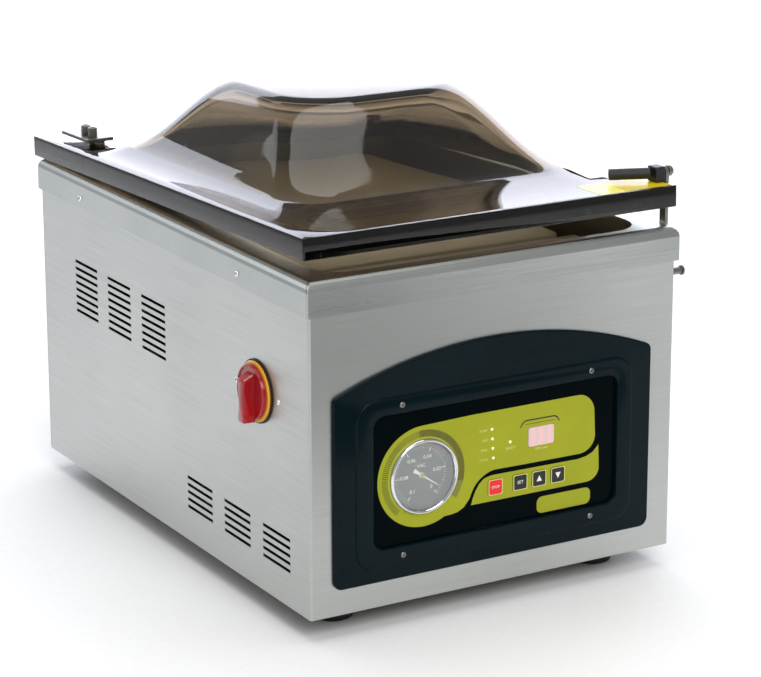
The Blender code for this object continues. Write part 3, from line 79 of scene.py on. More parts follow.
# Colour and shader nodes
def paint(code):  # an sRGB hex code as linear colour
    parts = [int(code[i:i + 2], 16) / 255 for i in (1, 3, 5)]
    return (*[c / 12.92 if c <= 0.04045 else ((c + 0.055) / 1.055) ** 2.4 for c in parts], 1.0)


def addNode(tree, kind, settings=None, links=None):
    made = tree.nodes.new("ShaderNode" + kind)
    for name, value in (settings or {}).items():
        if isinstance(name, int) or name in made.inputs:
            made.inputs[name].default_value = value
        else:
            setattr(made, name, value)
    for name, source in (links or {}).items():
        tree.links.new(source, made.inputs[name])
    return made


# A Principled finish: mottled colour, varied roughness and a fine relief, each from its size in mm
def newFinish(name, spec):
    made = bpy.data.materials.new(name)
    made.use_nodes = True
    tree = made.node_tree
    shader = tree.nodes["Principled BSDF"]
    shader.inputs["Metallic"].default_value = spec.get("metallic", 0.0)
    shader.inputs["IOR"].default_value = spec.get("ior", 1.5)
    for socket, value in spec.get("sockets", {}).items():
        shader.inputs[socket].default_value = value
    place = addNode(tree, "TexCoord").outputs["Object"]
    gx, gy, gz = spec.get("grain", (3.0, 3.0, 3.0))
    grainScale = addNode(tree, "Mapping", {"Scale": (1 / (gx * mm), 1 / (gy * mm), 1 / (gz * mm))},
                         {"Vector": place})
    grain = addNode(tree, "TexNoise", {"Scale": 1.0, "Detail": spec.get("detail", 3.0), "Roughness": 0.55},
                    {"Vector": grainScale.outputs[0]})
    patch = addNode(tree, "TexNoise", {"Scale": 1 / (spec.get("patch", 60.0) * mm), "Detail": 2.0},
                    {"Vector": place})
    blend = addNode(tree, "Math", {"operation": "MULTIPLY_ADD", 1: 0.5, 2: 0.0},
                    {0: grain.outputs["Fac"]})
    share = addNode(tree, "Math", {"operation": "MULTIPLY_ADD", 1: 0.5},
                    {0: patch.outputs["Fac"], 2: blend.outputs[0]})
    spread = addNode(tree, "MapRange", {"From Min": 0.35, "From Max": 0.65}, {"Value": share.outputs[0]})
    colour = addNode(tree, "Mix", {"data_type": "RGBA", 6: paint(spec["colour"]), 7: paint(spec["second"])},
                     {0: spread.outputs[0]})
    low, high = spec["roughness"]
    rough = addNode(tree, "MapRange", {"From Min": 0.3, "From Max": 0.7, "To Min": low, "To Max": high},
                    {"Value": grain.outputs["Fac"]})
    bump = addNode(tree, "Bump", {"Strength": spec.get("relief", 0.15),
                                  "Distance": spec.get("height", 0.05) * mm},
                   {"Height": grain.outputs["Fac"]})
    tree.links.new(colour.outputs[2], shader.inputs["Base Color"])
    tree.links.new(rough.outputs[0], shader.inputs["Roughness"])
    tree.links.new(bump.outputs[0], shader.inputs["Normal"])
    return made


# What each finish is, and what it gives the eye. Grain and patch are mm.
finishSpecs = {
    # cold rolled 304 sheet, brushed lengthwise: soft satin with faint level lines
    "brushedStainless": {"colour": "#BEC0BD", "second": "#B3B6B3", "metallic": 1.0,
                         "roughness": (0.30, 0.38),
                         "grain": (90.0, 90.0, 1.4), "patch": 160.0, "relief": 0.10, "height": 0.03},
    # the same sheet on the deck, brushed across: the grain runs left to right
    "brushedDeck": {"colour": "#B6B9B6", "second": "#A8ACAA", "metallic": 1.0, "roughness": (0.26, 0.34),
                    "grain": (90.0, 1.4, 1.4), "patch": 120.0, "relief": 0.10, "height": 0.03},
    # drawn stainless tub, bead blasted: even dull grey
    "blastedStainless": {"colour": "#A9A79C", "second": "#9C9A90", "metallic": 1.0,
                         "roughness": (0.42, 0.52),
                         "grain": (1.5, 1.5, 1.5), "patch": 90.0, "relief": 0.2, "height": 0.03},
    # zinc plated mild steel, passivated: grey with a slight cloudy bloom
    "platedSteel": {"colour": "#8F8E88", "second": "#75746E", "metallic": 1.0, "roughness": (0.28, 0.42),
                    "grain": (1.2, 1.2, 1.2), "patch": 12.0, "relief": 0.15, "height": 0.02},
    # decorative chrome on brass: mirror bright
    "polishedChrome": {"colour": "#E9EAEC", "second": "#DADCE0", "metallic": 1.0, "roughness": (0.05, 0.09),
                       "grain": (4.0, 4.0, 4.0), "patch": 20.0, "relief": 0.03, "height": 0.01},
    # extruded aluminium, clear anodised: fine lines along the bar
    "anodisedAluminium": {"colour": "#C6C7C9", "second": "#B4B5B8", "metallic": 1.0,
                          "roughness": (0.32, 0.42),
                          "grain": (60.0, 1.2, 1.2), "patch": 50.0, "relief": 0.12, "height": 0.03},
    # sand cast iron under dark enamel: pebbled satin
    "enamelledCasting": {"colour": "#34373A", "second": "#282B2E", "roughness": (0.40, 0.60),
                         "grain": (1.6, 1.6, 1.6), "patch": 40.0, "relief": 0.5, "height": 0.15},
    # moulded nitrile rubber: dull black with a dusty bloom
    "mouldedRubber": {"colour": "#17191B", "second": "#0D0E10", "roughness": (0.48, 0.64),
                      "grain": (0.9, 0.9, 0.9), "patch": 14.0, "relief": 0.25, "height": 0.05},
    # injection moulded ABS, spark eroded texture: even matt black
    "mouldedAbs": {"colour": "#16181A", "second": "#101214", "roughness": (0.38, 0.50),
                   "grain": (0.8, 0.8, 0.8), "patch": 30.0, "relief": 0.3, "height": 0.05},
    # gloss injection moulded ABS, blue black: clean reflections, faint swirl marks
    "glossAbs": {"colour": "#08181D", "second": "#061317", "roughness": (0.10, 0.16),
                 "grain": (7.0, 7.0, 7.0), "patch": 80.0, "relief": 0.03, "height": 0.05,
                 "sockets": {"Specular IOR Level": 0.09}},
    # screen printed polycarbonate film, black ink: soft low sheen
    "blackFilm": {"colour": "#01090C", "second": "#010608", "roughness": (0.24, 0.32),
                  "grain": (0.9, 0.9, 0.9), "patch": 50.0, "relief": 0.1, "height": 0.02,
                  "sockets": {"Specular IOR Level": 0.03}},
    # the film's olive ink, opaque
    "oliveInk": {"colour": "#A3A722", "second": "#989C1F", "roughness": (0.36, 0.46),
                 "grain": (0.9, 0.9, 0.9), "patch": 45.0, "relief": 0.1, "height": 0.02,
                 "sockets": {"Specular IOR Level": 0.2}},
    # the film's darker olive overprint
    "darkOliveInk": {"colour": "#5C5A1C", "second": "#4E4C18", "roughness": (0.36, 0.46),
                     "grain": (0.9, 0.9, 0.9), "patch": 20.0, "relief": 0.1, "height": 0.02},
    # the film's olive ink where the dial's dark ring fades into it
    "shadeOliveInk": {"colour": "#807F2B", "second": "#777526", "roughness": (0.36, 0.46),
                      "grain": (0.9, 0.9, 0.9), "patch": 20.0, "relief": 0.1, "height": 0.02},
    # a lighter copy of the same olive ink along the upper side of the chrome ring: painted highlight
    "oliveInkPaintedHighlight": {"colour": "#B2BC3C", "second": "#A6B033", "roughness": (0.36, 0.46),
                "grain": (0.9, 0.9, 0.9), "patch": 20.0, "relief": 0.1, "height": 0.02},
    # diffusing lens of an unlit lamp: milky yellow, with a faint painted glow from its emission though the
    # lamp is off
    "lampLensPaintedGlow": {"colour": "#F7F5C6", "second": "#EDEBB0", "roughness": (0.25, 0.35),
                 "grain": (0.8, 0.8, 0.8), "patch": 6.0, "relief": 0.05, "height": 0.01,
                 "sockets": {"Emission Color": (1.0, 0.98, 0.75, 1.0), "Emission Strength": 0.25}},
    # white ink on film, enamel and dial
    "whiteInk": {"colour": "#F1F1E6", "second": "#E2E2D2", "roughness": (0.42, 0.50),
                 "grain": (0.6, 0.6, 0.6), "patch": 10.0, "relief": 0.1, "height": 0.01},
    # pale cream ink of the small captions
    "creamInk": {"colour": "#D9DC86", "second": "#CBCE74", "roughness": (0.42, 0.50),
                 "grain": (0.6, 0.6, 0.6), "patch": 10.0, "relief": 0.1, "height": 0.01},
    # black ink on olive
    "blackInk": {"colour": "#0B0D0C", "second": "#070808", "roughness": (0.38, 0.46),
                 "grain": (0.6, 0.6, 0.6), "patch": 10.0, "relief": 0.1, "height": 0.01},
    # red ink on the dial
    "redInk": {"colour": "#8E2430", "second": "#7A1C28", "roughness": (0.42, 0.50),
               "grain": (0.6, 0.6, 0.6), "patch": 8.0, "relief": 0.1, "height": 0.01},
    # green ink on the dial
    "greenInk": {"colour": "#2C6E5C", "second": "#24604F", "roughness": (0.42, 0.50),
                 "grain": (0.6, 0.6, 0.6), "patch": 8.0, "relief": 0.1, "height": 0.01},
    # pressed dial, matt black lacquer
    "dialLacquer": {"colour": "#0A0F12", "second": "#060A0C", "roughness": (0.40, 0.50),
                    "grain": (0.7, 0.7, 0.7), "patch": 12.0, "relief": 0.12, "height": 0.01},
    # turned brass hub
    "turnedBrass": {"colour": "#C9B45E", "second": "#B59C45", "metallic": 1.0, "roughness": (0.22, 0.30),
                    "grain": (0.8, 0.8, 0.8), "patch": 6.0, "relief": 0.1, "height": 0.01},
    # red silicone key top
    "redKeyFilm": {"colour": "#F01822", "second": "#E2141E", "roughness": (0.30, 0.40),
                   "grain": (0.8, 0.8, 0.8), "patch": 10.0, "relief": 0.15, "height": 0.02},
    # black silicone key top
    "blackKeyFilm": {"colour": "#141113", "second": "#0E0C0D", "roughness": (0.30, 0.40),
                     "grain": (0.8, 0.8, 0.8), "patch": 10.0, "relief": 0.15, "height": 0.02},
    # yellow moulded nylon plate
    "yellowNylon": {"colour": "#F0AE35", "second": "#E39D26", "roughness": (0.22, 0.32),
                    "grain": (1.2, 1.2, 1.2), "patch": 22.0, "relief": 0.1, "height": 0.03},
    # red moulded nylon knob: deep, glossy edges
    "redNylon": {"colour": "#A80410", "second": "#8C020C", "roughness": (0.16, 0.24),
                 "grain": (1.4, 1.4, 1.4), "patch": 24.0, "relief": 0.08, "height": 0.04,
                 "sockets": {"Coat Weight": 0.3, "Coat Roughness": 0.08}},
    # woven glass cloth coated with release resin: cream, faint weave
    "coatedGlassCloth": {"colour": "#E4DFC4", "second": "#D6D0B0", "roughness": (0.45, 0.58),
                         "grain": (0.8, 0.8, 0.8), "patch": 26.0, "relief": 0.35, "height": 0.05},
    # cut polyethylene board: milky cream, faint saw marks
    "polyethyleneBoard": {"colour": "#E9E5C9", "second": "#DDD8B6", "roughness": (0.40, 0.52),
                          "grain": (40.0, 1.8, 1.8), "patch": 80.0, "relief": 0.2, "height": 0.06,
                          "sockets": {"Subsurface Weight": 0.15, "Subsurface Scale": 0.004}},
    # red silicone extrusion
    "redSilicone": {"colour": "#B5391F", "second": "#9E2E19", "roughness": (0.38, 0.50),
                    "grain": (1.0, 1.0, 1.0), "patch": 20.0, "relief": 0.2, "height": 0.04},
    # green solder mask
    "solderMask": {"colour": "#1D5B36", "second": "#174B2C", "roughness": (0.28, 0.36),
                   "grain": (1.0, 1.0, 1.0), "patch": 20.0, "relief": 0.2, "height": 0.03},
    # yellow vinyl, pale half
    "paleVinyl": {"colour": "#F0E65A", "second": "#E8DC4A", "roughness": (0.26, 0.36),
                  "grain": (1.6, 1.6, 1.6), "patch": 20.0, "relief": 0.15, "height": 0.03},
    # yellow vinyl, full depth of colour
    "deepVinyl": {"colour": "#DCC60A", "second": "#CDB404", "roughness": (0.26, 0.36),
                  "grain": (1.6, 1.6, 1.6), "patch": 20.0, "relief": 0.15, "height": 0.03},
    # white paper label under clear film
    "paperLabel": {"colour": "#F2F0DC", "second": "#E8E5CC", "roughness": (0.34, 0.44),
                   "grain": (1.2, 1.2, 1.2), "patch": 18.0, "relief": 0.15, "height": 0.02},
    # studio sweep: pale matt paper, spreads the light evenly
    "sweepPaper": {"colour": "#F6F6F6", "second": "#F1F1F1", "roughness": (0.80, 0.90),
                   "grain": (6.0, 6.0, 6.0), "patch": 300.0, "relief": 0.05, "height": 0.05},
    # black velvet flag
    "velvetFlag": {"colour": "#101414", "second": "#0C1010", "roughness": (0.90, 0.95),
                   "grain": (3.0, 3.0, 3.0), "patch": 60.0},
}
finishes = {name: newFinish(name, spec) for name, spec in finishSpecs.items()}


acrylic = {"tint": "#F4F0EA", "absorb": "#B2A382", "depth": 175.0, "ior": 1.49, "dust": 0.10}


# Cast smoked acrylic, flame polished: clear where thin, near black through its length
def makeSmokedAcrylic():
    made = bpy.data.materials.new("smokedAcrylic")
    made.use_nodes = True
    tree = made.node_tree
    shader = tree.nodes["Principled BSDF"]
    settings = {"Base Color": paint(acrylic["tint"]), "IOR": acrylic["ior"], "Transmission Weight": 1.0}
    for socket, value in settings.items():
        shader.inputs[socket].default_value = value
    place = addNode(tree, "TexCoord").outputs["Object"]
    wipe = addNode(tree, "TexNoise", {"Scale": 1 / (9.0 * mm), "Detail": 5.0}, {"Vector": place})
    dust = addNode(tree, "MapRange", {"From Min": 0.5, "From Max": 0.75, "To Min": 0.015,
                                      "To Max": acrylic["dust"]},
                   {"Value": wipe.outputs["Fac"]})
    tree.links.new(dust.outputs[0], shader.inputs["Roughness"])
    wave = addNode(tree, "TexNoise", {"Scale": 1 / (70.0 * mm), "Detail": 1.0}, {"Vector": place})
    bump = addNode(tree, "Bump", {"Strength": 0.2, "Distance": 0.4 * mm}, {"Height": wave.outputs["Fac"]})
    tree.links.new(bump.outputs[0], shader.inputs["Normal"])
    depth = addNode(tree, "VolumeAbsorption", {"Color": paint(acrylic["absorb"]),
                                               "Density": acrylic["depth"]})
    tree.links.new(depth.outputs[0], tree.nodes["Material Output"].inputs["Volume"])
    return made


def makeClearGlass():  # float glass lens: a clean, slightly green sparkle
    made = bpy.data.materials.new("clearGlass")
    made.use_nodes = True
    tree = made.node_tree
    shader = tree.nodes["Principled BSDF"]
    for socket, value in {"Base Color": paint("#F2F8F6"), "IOR": 1.5, "Alpha": 0.16}.items():
        shader.inputs[socket].default_value = value
    place = addNode(tree, "TexCoord").outputs["Object"]
    smear = addNode(tree, "TexNoise", {"Scale": 1 / (11.0 * mm), "Detail": 3.0}, {"Vector": place})
    rough = addNode(tree, "MapRange", {"To Min": 0.02, "To Max": 0.09}, {"Value": smear.outputs["Fac"]})
    tree.links.new(rough.outputs[0], shader.inputs["Roughness"])
    return made


displayLook = {"base": "#C9B9B6", "band": "#E7B3B4", "bandWidth": 8.0}


def makeDisplayFilterPaintedGlow():  # tinted display filter: pale grey with rosy digit columns behind it
    made = bpy.data.materials.new("displayFilterPaintedGlow")
    made.use_nodes = True
    tree = made.node_tree
    shader = tree.nodes["Principled BSDF"]
    place = addNode(tree, "TexCoord").outputs["Object"]
    column = addNode(tree, "TexWave", {"wave_type": "BANDS", "bands_direction": "X", "Detail": 1.0,
                                       "Scale": 0.314 / (displayLook["bandWidth"] * mm), "Distortion": 0.6},
                     {"Vector": place})
    colour = addNode(tree, "Mix", {"data_type": "RGBA", 6: paint(displayLook["base"]),
                                   7: paint(displayLook["band"])},
                     {0: column.outputs["Fac"]})
    tree.links.new(colour.outputs[2], shader.inputs["Base Color"])
    smear = addNode(tree, "TexNoise", {"Scale": 1 / (5.0 * mm)}, {"Vector": place})
    rough = addNode(tree, "MapRange", {"To Min": 0.14, "To Max": 0.3}, {"Value": smear.outputs["Fac"]})
    tree.links.new(rough.outputs[0], shader.inputs["Roughness"])
    # painted glow: the filter emits a faint rosy light of its own, though no lamp lights it
    shader.inputs["Emission Strength"].default_value = 0.12
    shader.inputs["Emission Color"].default_value = paint("#FFC9C4")
    return made


finishes["smokedAcrylic"] = makeSmokedAcrylic()
finishes["clearGlass"] = makeClearGlass()
finishes["displayFilterPaintedGlow"] = makeDisplayFilterPaintedGlow()
print("finishes made:", len(finishes))

cadFinishes = {
    "cabinet_shell": "brushedStainless", "rear_panel": "brushedStainless", "base_pan": "platedSteel",
    "deck_frame": "brushedDeck", "vacuum_chamber": "blastedStainless",
    "vacuum_port_cover": "polyethyleneBoard",
    "foot_front_left": "mouldedRubber", "foot_front_right": "mouldedRubber",
    "foot_rear_left": "mouldedRubber",
    "foot_rear_right": "mouldedRubber", "control_bezel": "glossAbs", "panel_overlay": "blackFilm",
    "display_window": "displayFilterPaintedGlow", "circuit_board": "solderMask", "gauge_case": "mouldedAbs",
    "gauge_dial": "dialLacquer", "gauge_ring": "polishedChrome", "gauge_glass": "clearGlass",
    "gauge_needle": "whiteInk", "stop_button": "redKeyFilm", "set_button": "blackKeyFilm",
    "up_button": "blackKeyFilm", "down_button": "blackKeyFilm", "switch_gasket": "mouldedRubber",
    "switch_plate": "yellowNylon", "switch_knob": "redNylon", "switch_body": "mouldedAbs",
    "power_inlet": "mouldedAbs", "vacuum_pump": "enamelledCasting", "pump_motor": "enamelledCasting",
    "suction_hose": "mouldedRubber", "exhaust_filter": "mouldedAbs", "solenoid_valve": "mouldedAbs",
    "transformer": "enamelledCasting", "fan_frame": "mouldedAbs", "fan_rotor": "mouldedAbs",
    "seal_cylinder_left": "anodisedAluminium", "seal_cylinder_right": "anodisedAluminium",
    "seal_bar": "anodisedAluminium", "seal_tape": "coatedGlassCloth",
    "filler_board_lower": "polyethyleneBoard",
    "filler_board_upper": "polyethyleneBoard", "lid_dome": "smokedAcrylic", "lid_gasket": "mouldedRubber",
    "seal_pad": "redSilicone", "hinge_plate_left": "platedSteel", "hinge_plate_right": "platedSteel",
    "hinge_arm_left": "platedSteel", "hinge_arm_right": "platedSteel", "hinge_bracket_left": "platedSteel",
    "hinge_bracket_right": "platedSteel", "hinge_pin_left": "platedSteel", "hinge_pin_right": "platedSteel",
    "latch_saddle": "mouldedAbs", "latch_bolt": "platedSteel", "latch_handle": "mouldedRubber",
    "latch_arm": "platedSteel", "keeper_stud": "platedSteel",
}
for nodeName, finishName in cadFinishes.items():
    slots = frame["nodes"][nodeName].data.materials
    slots.clear()
    slots.append(finishes[finishName])
print("CAD pieces painted")


# Mesh making. Outlines are lists of (u, v); rings are lists of (x, y, z) with equal counts.
def arc(start, end, steps):
    return [math.radians(start + (end - start) * i / steps) for i in range(steps + 1)]


def roundedRect(u0, u1, v0, v1, radius, steps=8):
    spots = ((u1 - radius, v0 + radius, -90), (u1 - radius, v1 - radius, 0),
             (u0 + radius, v1 - radius, 90), (u0 + radius, v0 + radius, 180))
    return [(u + radius * math.cos(a), v + radius * math.sin(a)) for u, v, start in spots
            for a in arc(start, start + 90, steps)]


def circleOutline(u, v, radius, steps=32):
    return [(u + radius * math.cos(a), v + radius * math.sin(a)) for a in arc(0, 360, steps)[:-1]]


def facing(axis, u, v, along):
    return {"X": (along, u, v), "Y": (u, along, v), "Z": (u, v, along)}[axis]


# Points and faces of a tube through the rings, capped at both ends unless it closes on itself
def skin(rings, closed=False):
    count = len(rings[0])
    faces = []
    for i in range(len(rings) if closed else len(rings) - 1):
        a, b = i * count, (i + 1) % len(rings) * count
        faces += [(a + j, a + (j + 1) % count, b + (j + 1) % count, b + j) for j in range(count)]
    if not closed:
        last = (len(rings) - 1) * count
        faces += [tuple(reversed(range(count))), tuple(range(last, last + count))]
    return [p for ring in rings for p in ring], faces


# One named object from a list of (points, faces), riding on a body and taking a slot's finish
def makePiece(name, shapes, finish, body, move=at, sharp=35.0, replaces=()):
    mesh = bpy.data.meshes.new(name)
    points, faces = [], []
    for shapePoints, shapeFaces in shapes:
        start = len(points)
        points += [move(*p) for p in shapePoints]
        faces += [tuple(start + i for i in face) for face in shapeFaces]
    mesh.from_pydata(points, [], faces)
    work = bmesh.new()
    work.from_mesh(mesh)
    bmesh.ops.recalc_face_normals(work, faces=work.faces)
    work.to_mesh(mesh)
    work.free()
    mesh.shade_smooth()
    mesh.set_sharp_from_angle(angle=math.radians(sharp))
    piece = bpy.data.objects.new(name, mesh)
    bpy.context.scene.collection.objects.link(piece)
    mesh.materials.append(finishes[finish])
    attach(piece, body)
    if replaces:
        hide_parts(*replaces)
    return piece


# A flat plate across an axis. round_ softens the edge at its high end, towards the outline's centre
def plate(outline, axis, low, high, round_=0.0, centre=None):
    if not round_:
        return skin([[facing(axis, u, v, along) for u, v in outline] for along in (low, high)])
    cu = sum(u for u, _ in outline) / len(outline) if centre is None else centre[0]
    cv = sum(v for _, v in outline) / len(outline) if centre is None else centre[1]
    halfU = max(abs(u - cu) for u, _ in outline)
    halfV = max(abs(v - cv) for _, v in outline)
    step = 1 if high > low else -1
    rings = [[facing(axis, u, v, low) for u, v in outline]]
    for a in arc(0, 90, 4):
        inset = round_ * (1 - math.cos(a))
        along = high - step * round_ * (1 - math.sin(a))
        rings.append([facing(axis, cu + (u - cu) * (1 - inset / halfU),
                             cv + (v - cv) * (1 - inset / halfV), along)
                      for u, v in outline])
    return skin(rings)


# A body of revolution from (radius, along) pairs
def turned(profile, axis, centre, steps=48, closed=False):
    rings = [[facing(axis, u, v, along) for u, v in circleOutline(*centre, radius, steps)]
             for radius, along in profile]
    return skin(rings, closed)


# Takes one shape, or several that don't touch each other, out of a piece
def carve(piece, shape, move=at):
    mesh = bpy.data.meshes.new("cutter")
    mesh.from_pydata([move(*p) for p in shape[0]], [], shape[1])
    work = bmesh.new()
    work.from_mesh(mesh)
    bmesh.ops.recalc_face_normals(work, faces=work.faces)
    work.to_mesh(mesh)
    work.free()
    cutter = bpy.data.objects.new("cutter", mesh)
    bpy.context.scene.collection.objects.link(cutter)
    cutter.matrix_world = piece.matrix_world
    cut = piece.modifiers.new("cut", "BOOLEAN")
    cut.operation = "DIFFERENCE"
    cut.object = cutter
    bpy.context.view_layer.update()
    result = bpy.data.meshes.new_from_object(piece.evaluated_get(bpy.context.evaluated_depsgraph_get()))
    piece.modifiers.clear()
    piece.data = result
    bpy.data.objects.remove(cutter)
    piece.data.shade_smooth()
    piece.data.set_sharp_from_angle(angle=math.radians(35))


# Many shapes as one
def several(shapes):
    points, faces = [], []
    for shapePoints, shapeFaces in shapes:
        start = len(points)
        points += shapePoints
        faces += [tuple(start + i for i in face) for face in shapeFaces]
    return points, faces


# The resting lid: modelled closed, then tipped about its hinge
lid = {"restAngle": 1.73, "left": -2.5, "right": 352.5, "front": 1.8, "rear": 519.4, "bottom": 281.7,
       "thick": 18.0, "arris": 0.7, "wall": 6.0, "domeHeight": 72.0, "flareRise": 4.3,
       "flare": (8.5, 343.5, 7.8, 446.0), "crease": (35, 315, 88, 430), "domeTop": (96, 254, 176, 338),
       "flareCorner": 60.0, "creaseCorner": 40.0, "topCorner": 52.0, "footSlope": 0.18, "topSlope": 0.25,
       "flareSteps": 10, "steps": 26, "cornerSteps": 14, "pocketFront": 455.7,
       "grooveIn": (20.3, 329.7, 9.8, 448.2), "grooveCorner": 30.2, "grooveWide": 5.6, "grooveDeep": 3.0}
tip = Matrix.Rotation(math.radians(lid["restAngle"]), 3, Vector((-1, 0, 0)))
lidTop = lid["bottom"] + lid["thick"]


def onLid(x, y, z):
    return hingePoint + tip @ (at(x, y, z) - hingePoint)


def blendLimits(a, b, share):
    return [p + (q - p) * share for p, q in zip(a, b)]


def domeRise(t):  # height over the slab, from the crease to the flat top: a slope and a shoulder
    return (lid["flareRise"] * (1 + 2 * t) * (1 - t) ** 2
            + lid["domeHeight"] * (lid["footSlope"] * t * (1 - t) ** 2 + t * t * (3 - 2 * t)
                                   - lid["topSlope"] * t * t * (1 - t)))


def buildLid():
    steps = lid["cornerSteps"]

    def ring(limits, radius, z, grow=0.0):
        u0, u1, v0, v1 = limits
        return [(x, y, z) for x, y in
                roundedRect(u0 - grow, u1 + grow, v0 - grow, v1 + grow, max(radius + grow, 0.4), steps)]
    slabLimits = (lid["left"], lid["right"], lid["front"], lid["rear"])
    wall, bottom = lid["wall"], lid["bottom"]
    rings = []
    for i in range(lid["steps"], -1, -1):
        t = i / lid["steps"]
        radius = lid["creaseCorner"] + (lid["topCorner"] - lid["creaseCorner"]) * t
        rings.append(ring(blendLimits(lid["crease"], lid["domeTop"], t), radius, lidTop + domeRise(t)))
    for i in range(lid["flareSteps"] - 1, -1, -1):
        t = i / lid["flareSteps"]
        radius = lid["flareCorner"] + (lid["creaseCorner"] - lid["flareCorner"]) * t
        rings.append(ring(blendLimits(lid["flare"], lid["crease"], t), radius,
                          lidTop + lid["flareRise"] * t * t))
    a = lid["arris"]
    for grow, z in ((-a, lidTop), (-a * 0.3, lidTop - a * 0.3), (0, lidTop - a), (0, bottom + a),
                    (-a * 0.3, bottom + a * 0.3), (-a, bottom)):
        rings.append(ring(slabLimits, 2.0, z, grow))
    wide, deep = lid["grooveWide"], lid["grooveDeep"]
    for grow, z in ((wide, bottom), (wide, bottom + deep), (0, bottom + deep), (0, bottom)):
        rings.append(ring(lid["grooveIn"], lid["grooveCorner"], z, grow))
    base = lid["crease"]
    inner = (base[0] + wall, base[1] - wall, base[2] + wall, base[3] - wall)
    mouth = lid["creaseCorner"] - wall
    share = 1 - 0.6 * wall / lid["domeHeight"]
    rings.append(ring(inner, mouth, bottom, 3.0))
    rings.append(ring(inner, mouth, bottom + 1.2, 0.9))
    rings.append(ring(inner, mouth, bottom + 3.0))
    for i in range(lid["steps"] + 1):
        t = i / lid["steps"]
        radius = mouth + (lid["topCorner"] - mouth) * t
        rings.append(ring(blendLimits(inner, lid["domeTop"], t), radius,
                          lidTop - wall + share * domeRise(t)))
    made = makePiece("smoked_lid", [skin(rings)], "smokedAcrylic", "lid", onLid,
                     replaces=("lid_dome",))
    front = lid["pocketFront"]
    for node in ("hinge_arm_left", "hinge_arm_right"):
        low, high = corners(node)
        x0, x1 = low.x - 0.4, high.x + 0.4
        carve(made, skin([[(x0, front, z), (x1, front, z), (x1, 530.0, z), (x0, 530.0, z)]
                          for z in (bottom - 4.0, bottom + 3.4)]), onLid)
    return made


buildLid()
print("lid made")

# Control panel
panel = {"outline": (20, 326, 22, 183), "corner": 8.0, "shoulder": 4.0, "arch": 30.4, "back": -0.3,
         "face": -3.0,
         "edge": 1.3, "frame": (39.75, 306.25, 34,
                                177), "frameCorner": 18.0, "frameFace": -5.0, "frameEdge": 1.5,
         "foot": 1.0, "window": (55.5, 291.5, 50, 163), "windowCorner": 10.0, "windowEdge": 0.9}


# A quarter turn from a to c that leaves and arrives along a-b and b-c
def bendCorner(a, b, c, steps=8):
    weight = math.sqrt(0.5)
    points = []
    for i in range(steps + 1):
        t = i / steps
        shares = ((1 - t) ** 2, 2 * weight * t * (1 - t), t * t)
        total = sum(shares)
        points.append(tuple(sum(s * p[k] for s, p in zip(shares, (a, b, c))) / total for k in (0, 1)))
    return points


# A plate outline with rounded corners; its top edge rises in an arc by arch
def archedOutline(limits, bottomCorner, topCorner, arch, inset=0.0, span=36):
    x0, x1, z0, z1 = limits
    middle, half = (x0 + x1) / 2, (x1 - x0) / 2

    def top(x):
        if not arch:
            return z1 - inset
        sweep = (half * half + arch * arch) / (2 * arch)
        return z1 + arch - sweep + math.sqrt((sweep - inset) ** 2 - (x - middle) ** 2)
    x0, x1, z0 = x0 + inset, x1 - inset, z0 + inset
    b, t = max(bottomCorner - inset, 0.3), max(topCorner - inset, 0.3)
    points = bendCorner((x1 - b, z0), (x1, z0), (x1, z0 + b))
    points += bendCorner((x1, top(x1) - t), (x1, top(x1)), (x1 - t, top(x1 - t)))
    for i in range(1, span):
        x = x1 - t + (x0 + t - (x1 - t)) * i / span
        points.append((x, top(x)))
    points += bendCorner((x0 + t, top(x0 + t)), (x0, top(x0)), (x0, top(x0) - t))
    points += bendCorner((x0, z0 + b), (x0, z0), (x0 + b, z0))
    return points


def buildBezel():
    outer = (panel["outline"], panel["corner"], panel["shoulder"], panel["arch"])
    raised = (panel["frame"], panel["frameCorner"], panel["frameCorner"], 0)
    window = (panel["window"], panel["windowCorner"], panel["windowCorner"], 0)
    edge, rise, sill = panel["edge"], panel["frameEdge"], panel["windowEdge"]
    face, top = panel["face"], panel["frameFace"]
    section = [(outer, 0, panel["back"])]
    section += [(outer, edge * (1 - math.cos(a)), face + edge * (1 - math.sin(a))) for a in arc(0, 90, 5)]
    section += [(raised, -panel["foot"], face), (raised, -panel["foot"] * 0.3, face - 0.15),
                (raised, 0, face - 0.6)]
    section += [(raised, rise * (1 - math.cos(a)), top + rise * (1 - math.sin(a))) for a in arc(20, 90, 5)]
    section += [(window, -sill * (1 - math.sin(a)), top + sill * (1 - math.cos(a))) for a in arc(0, 90, 4)]
    section += [(window, 0, panel["back"])]
    rings = [[(x, y, z) for x, z in archedOutline(*shape, inset)] for shape, inset, y in section]
    return makePiece("bezel", [skin(rings, closed=True)], "glossAbs", "cabinet",
                     replaces=("control_bezel",))


buildBezel()

# Printed panel film: the film is a CAD piece, the inks are thin layers over it
ink = {"low": -1.15, "olive": -1.27, "over": -1.33, "disc": (104, 105), "discRadius": 43.0, "hole": 31.0,
       "keys": (("stop_button", "redKeyFilm"), ("set_button", "blackKeyFilm"),
                ("up_button", "blackKeyFilm"),
                ("down_button", "blackKeyFilm")),
       "lamps": ((169.3, 133.8), (169.7, 125.5), (170.2, 117.3), (170.8, 108.9), (187.1, 120.0)),
       "captions": (("PUMP", 161.0, 133.4), ("VAC", 162.8, 125.1), ("SEAL", 161.8, 116.9),
                    ("COOL", 161.6, 108.5),
                    ("READY", 187.4, 114.6), ("TIME (sec)", 217.5, 109.6))}


def keyBox(node):
    low, high = corners(node)
    return low.x, high.x, low.z, high.z


def printed(name, outlines, finish, level="over", body="cabinet", low=None):
    start = ink["low"] if low is None else low
    return makePiece(name, [plate(o, "Y", start, ink[level]) for o in outlines], finish, body)


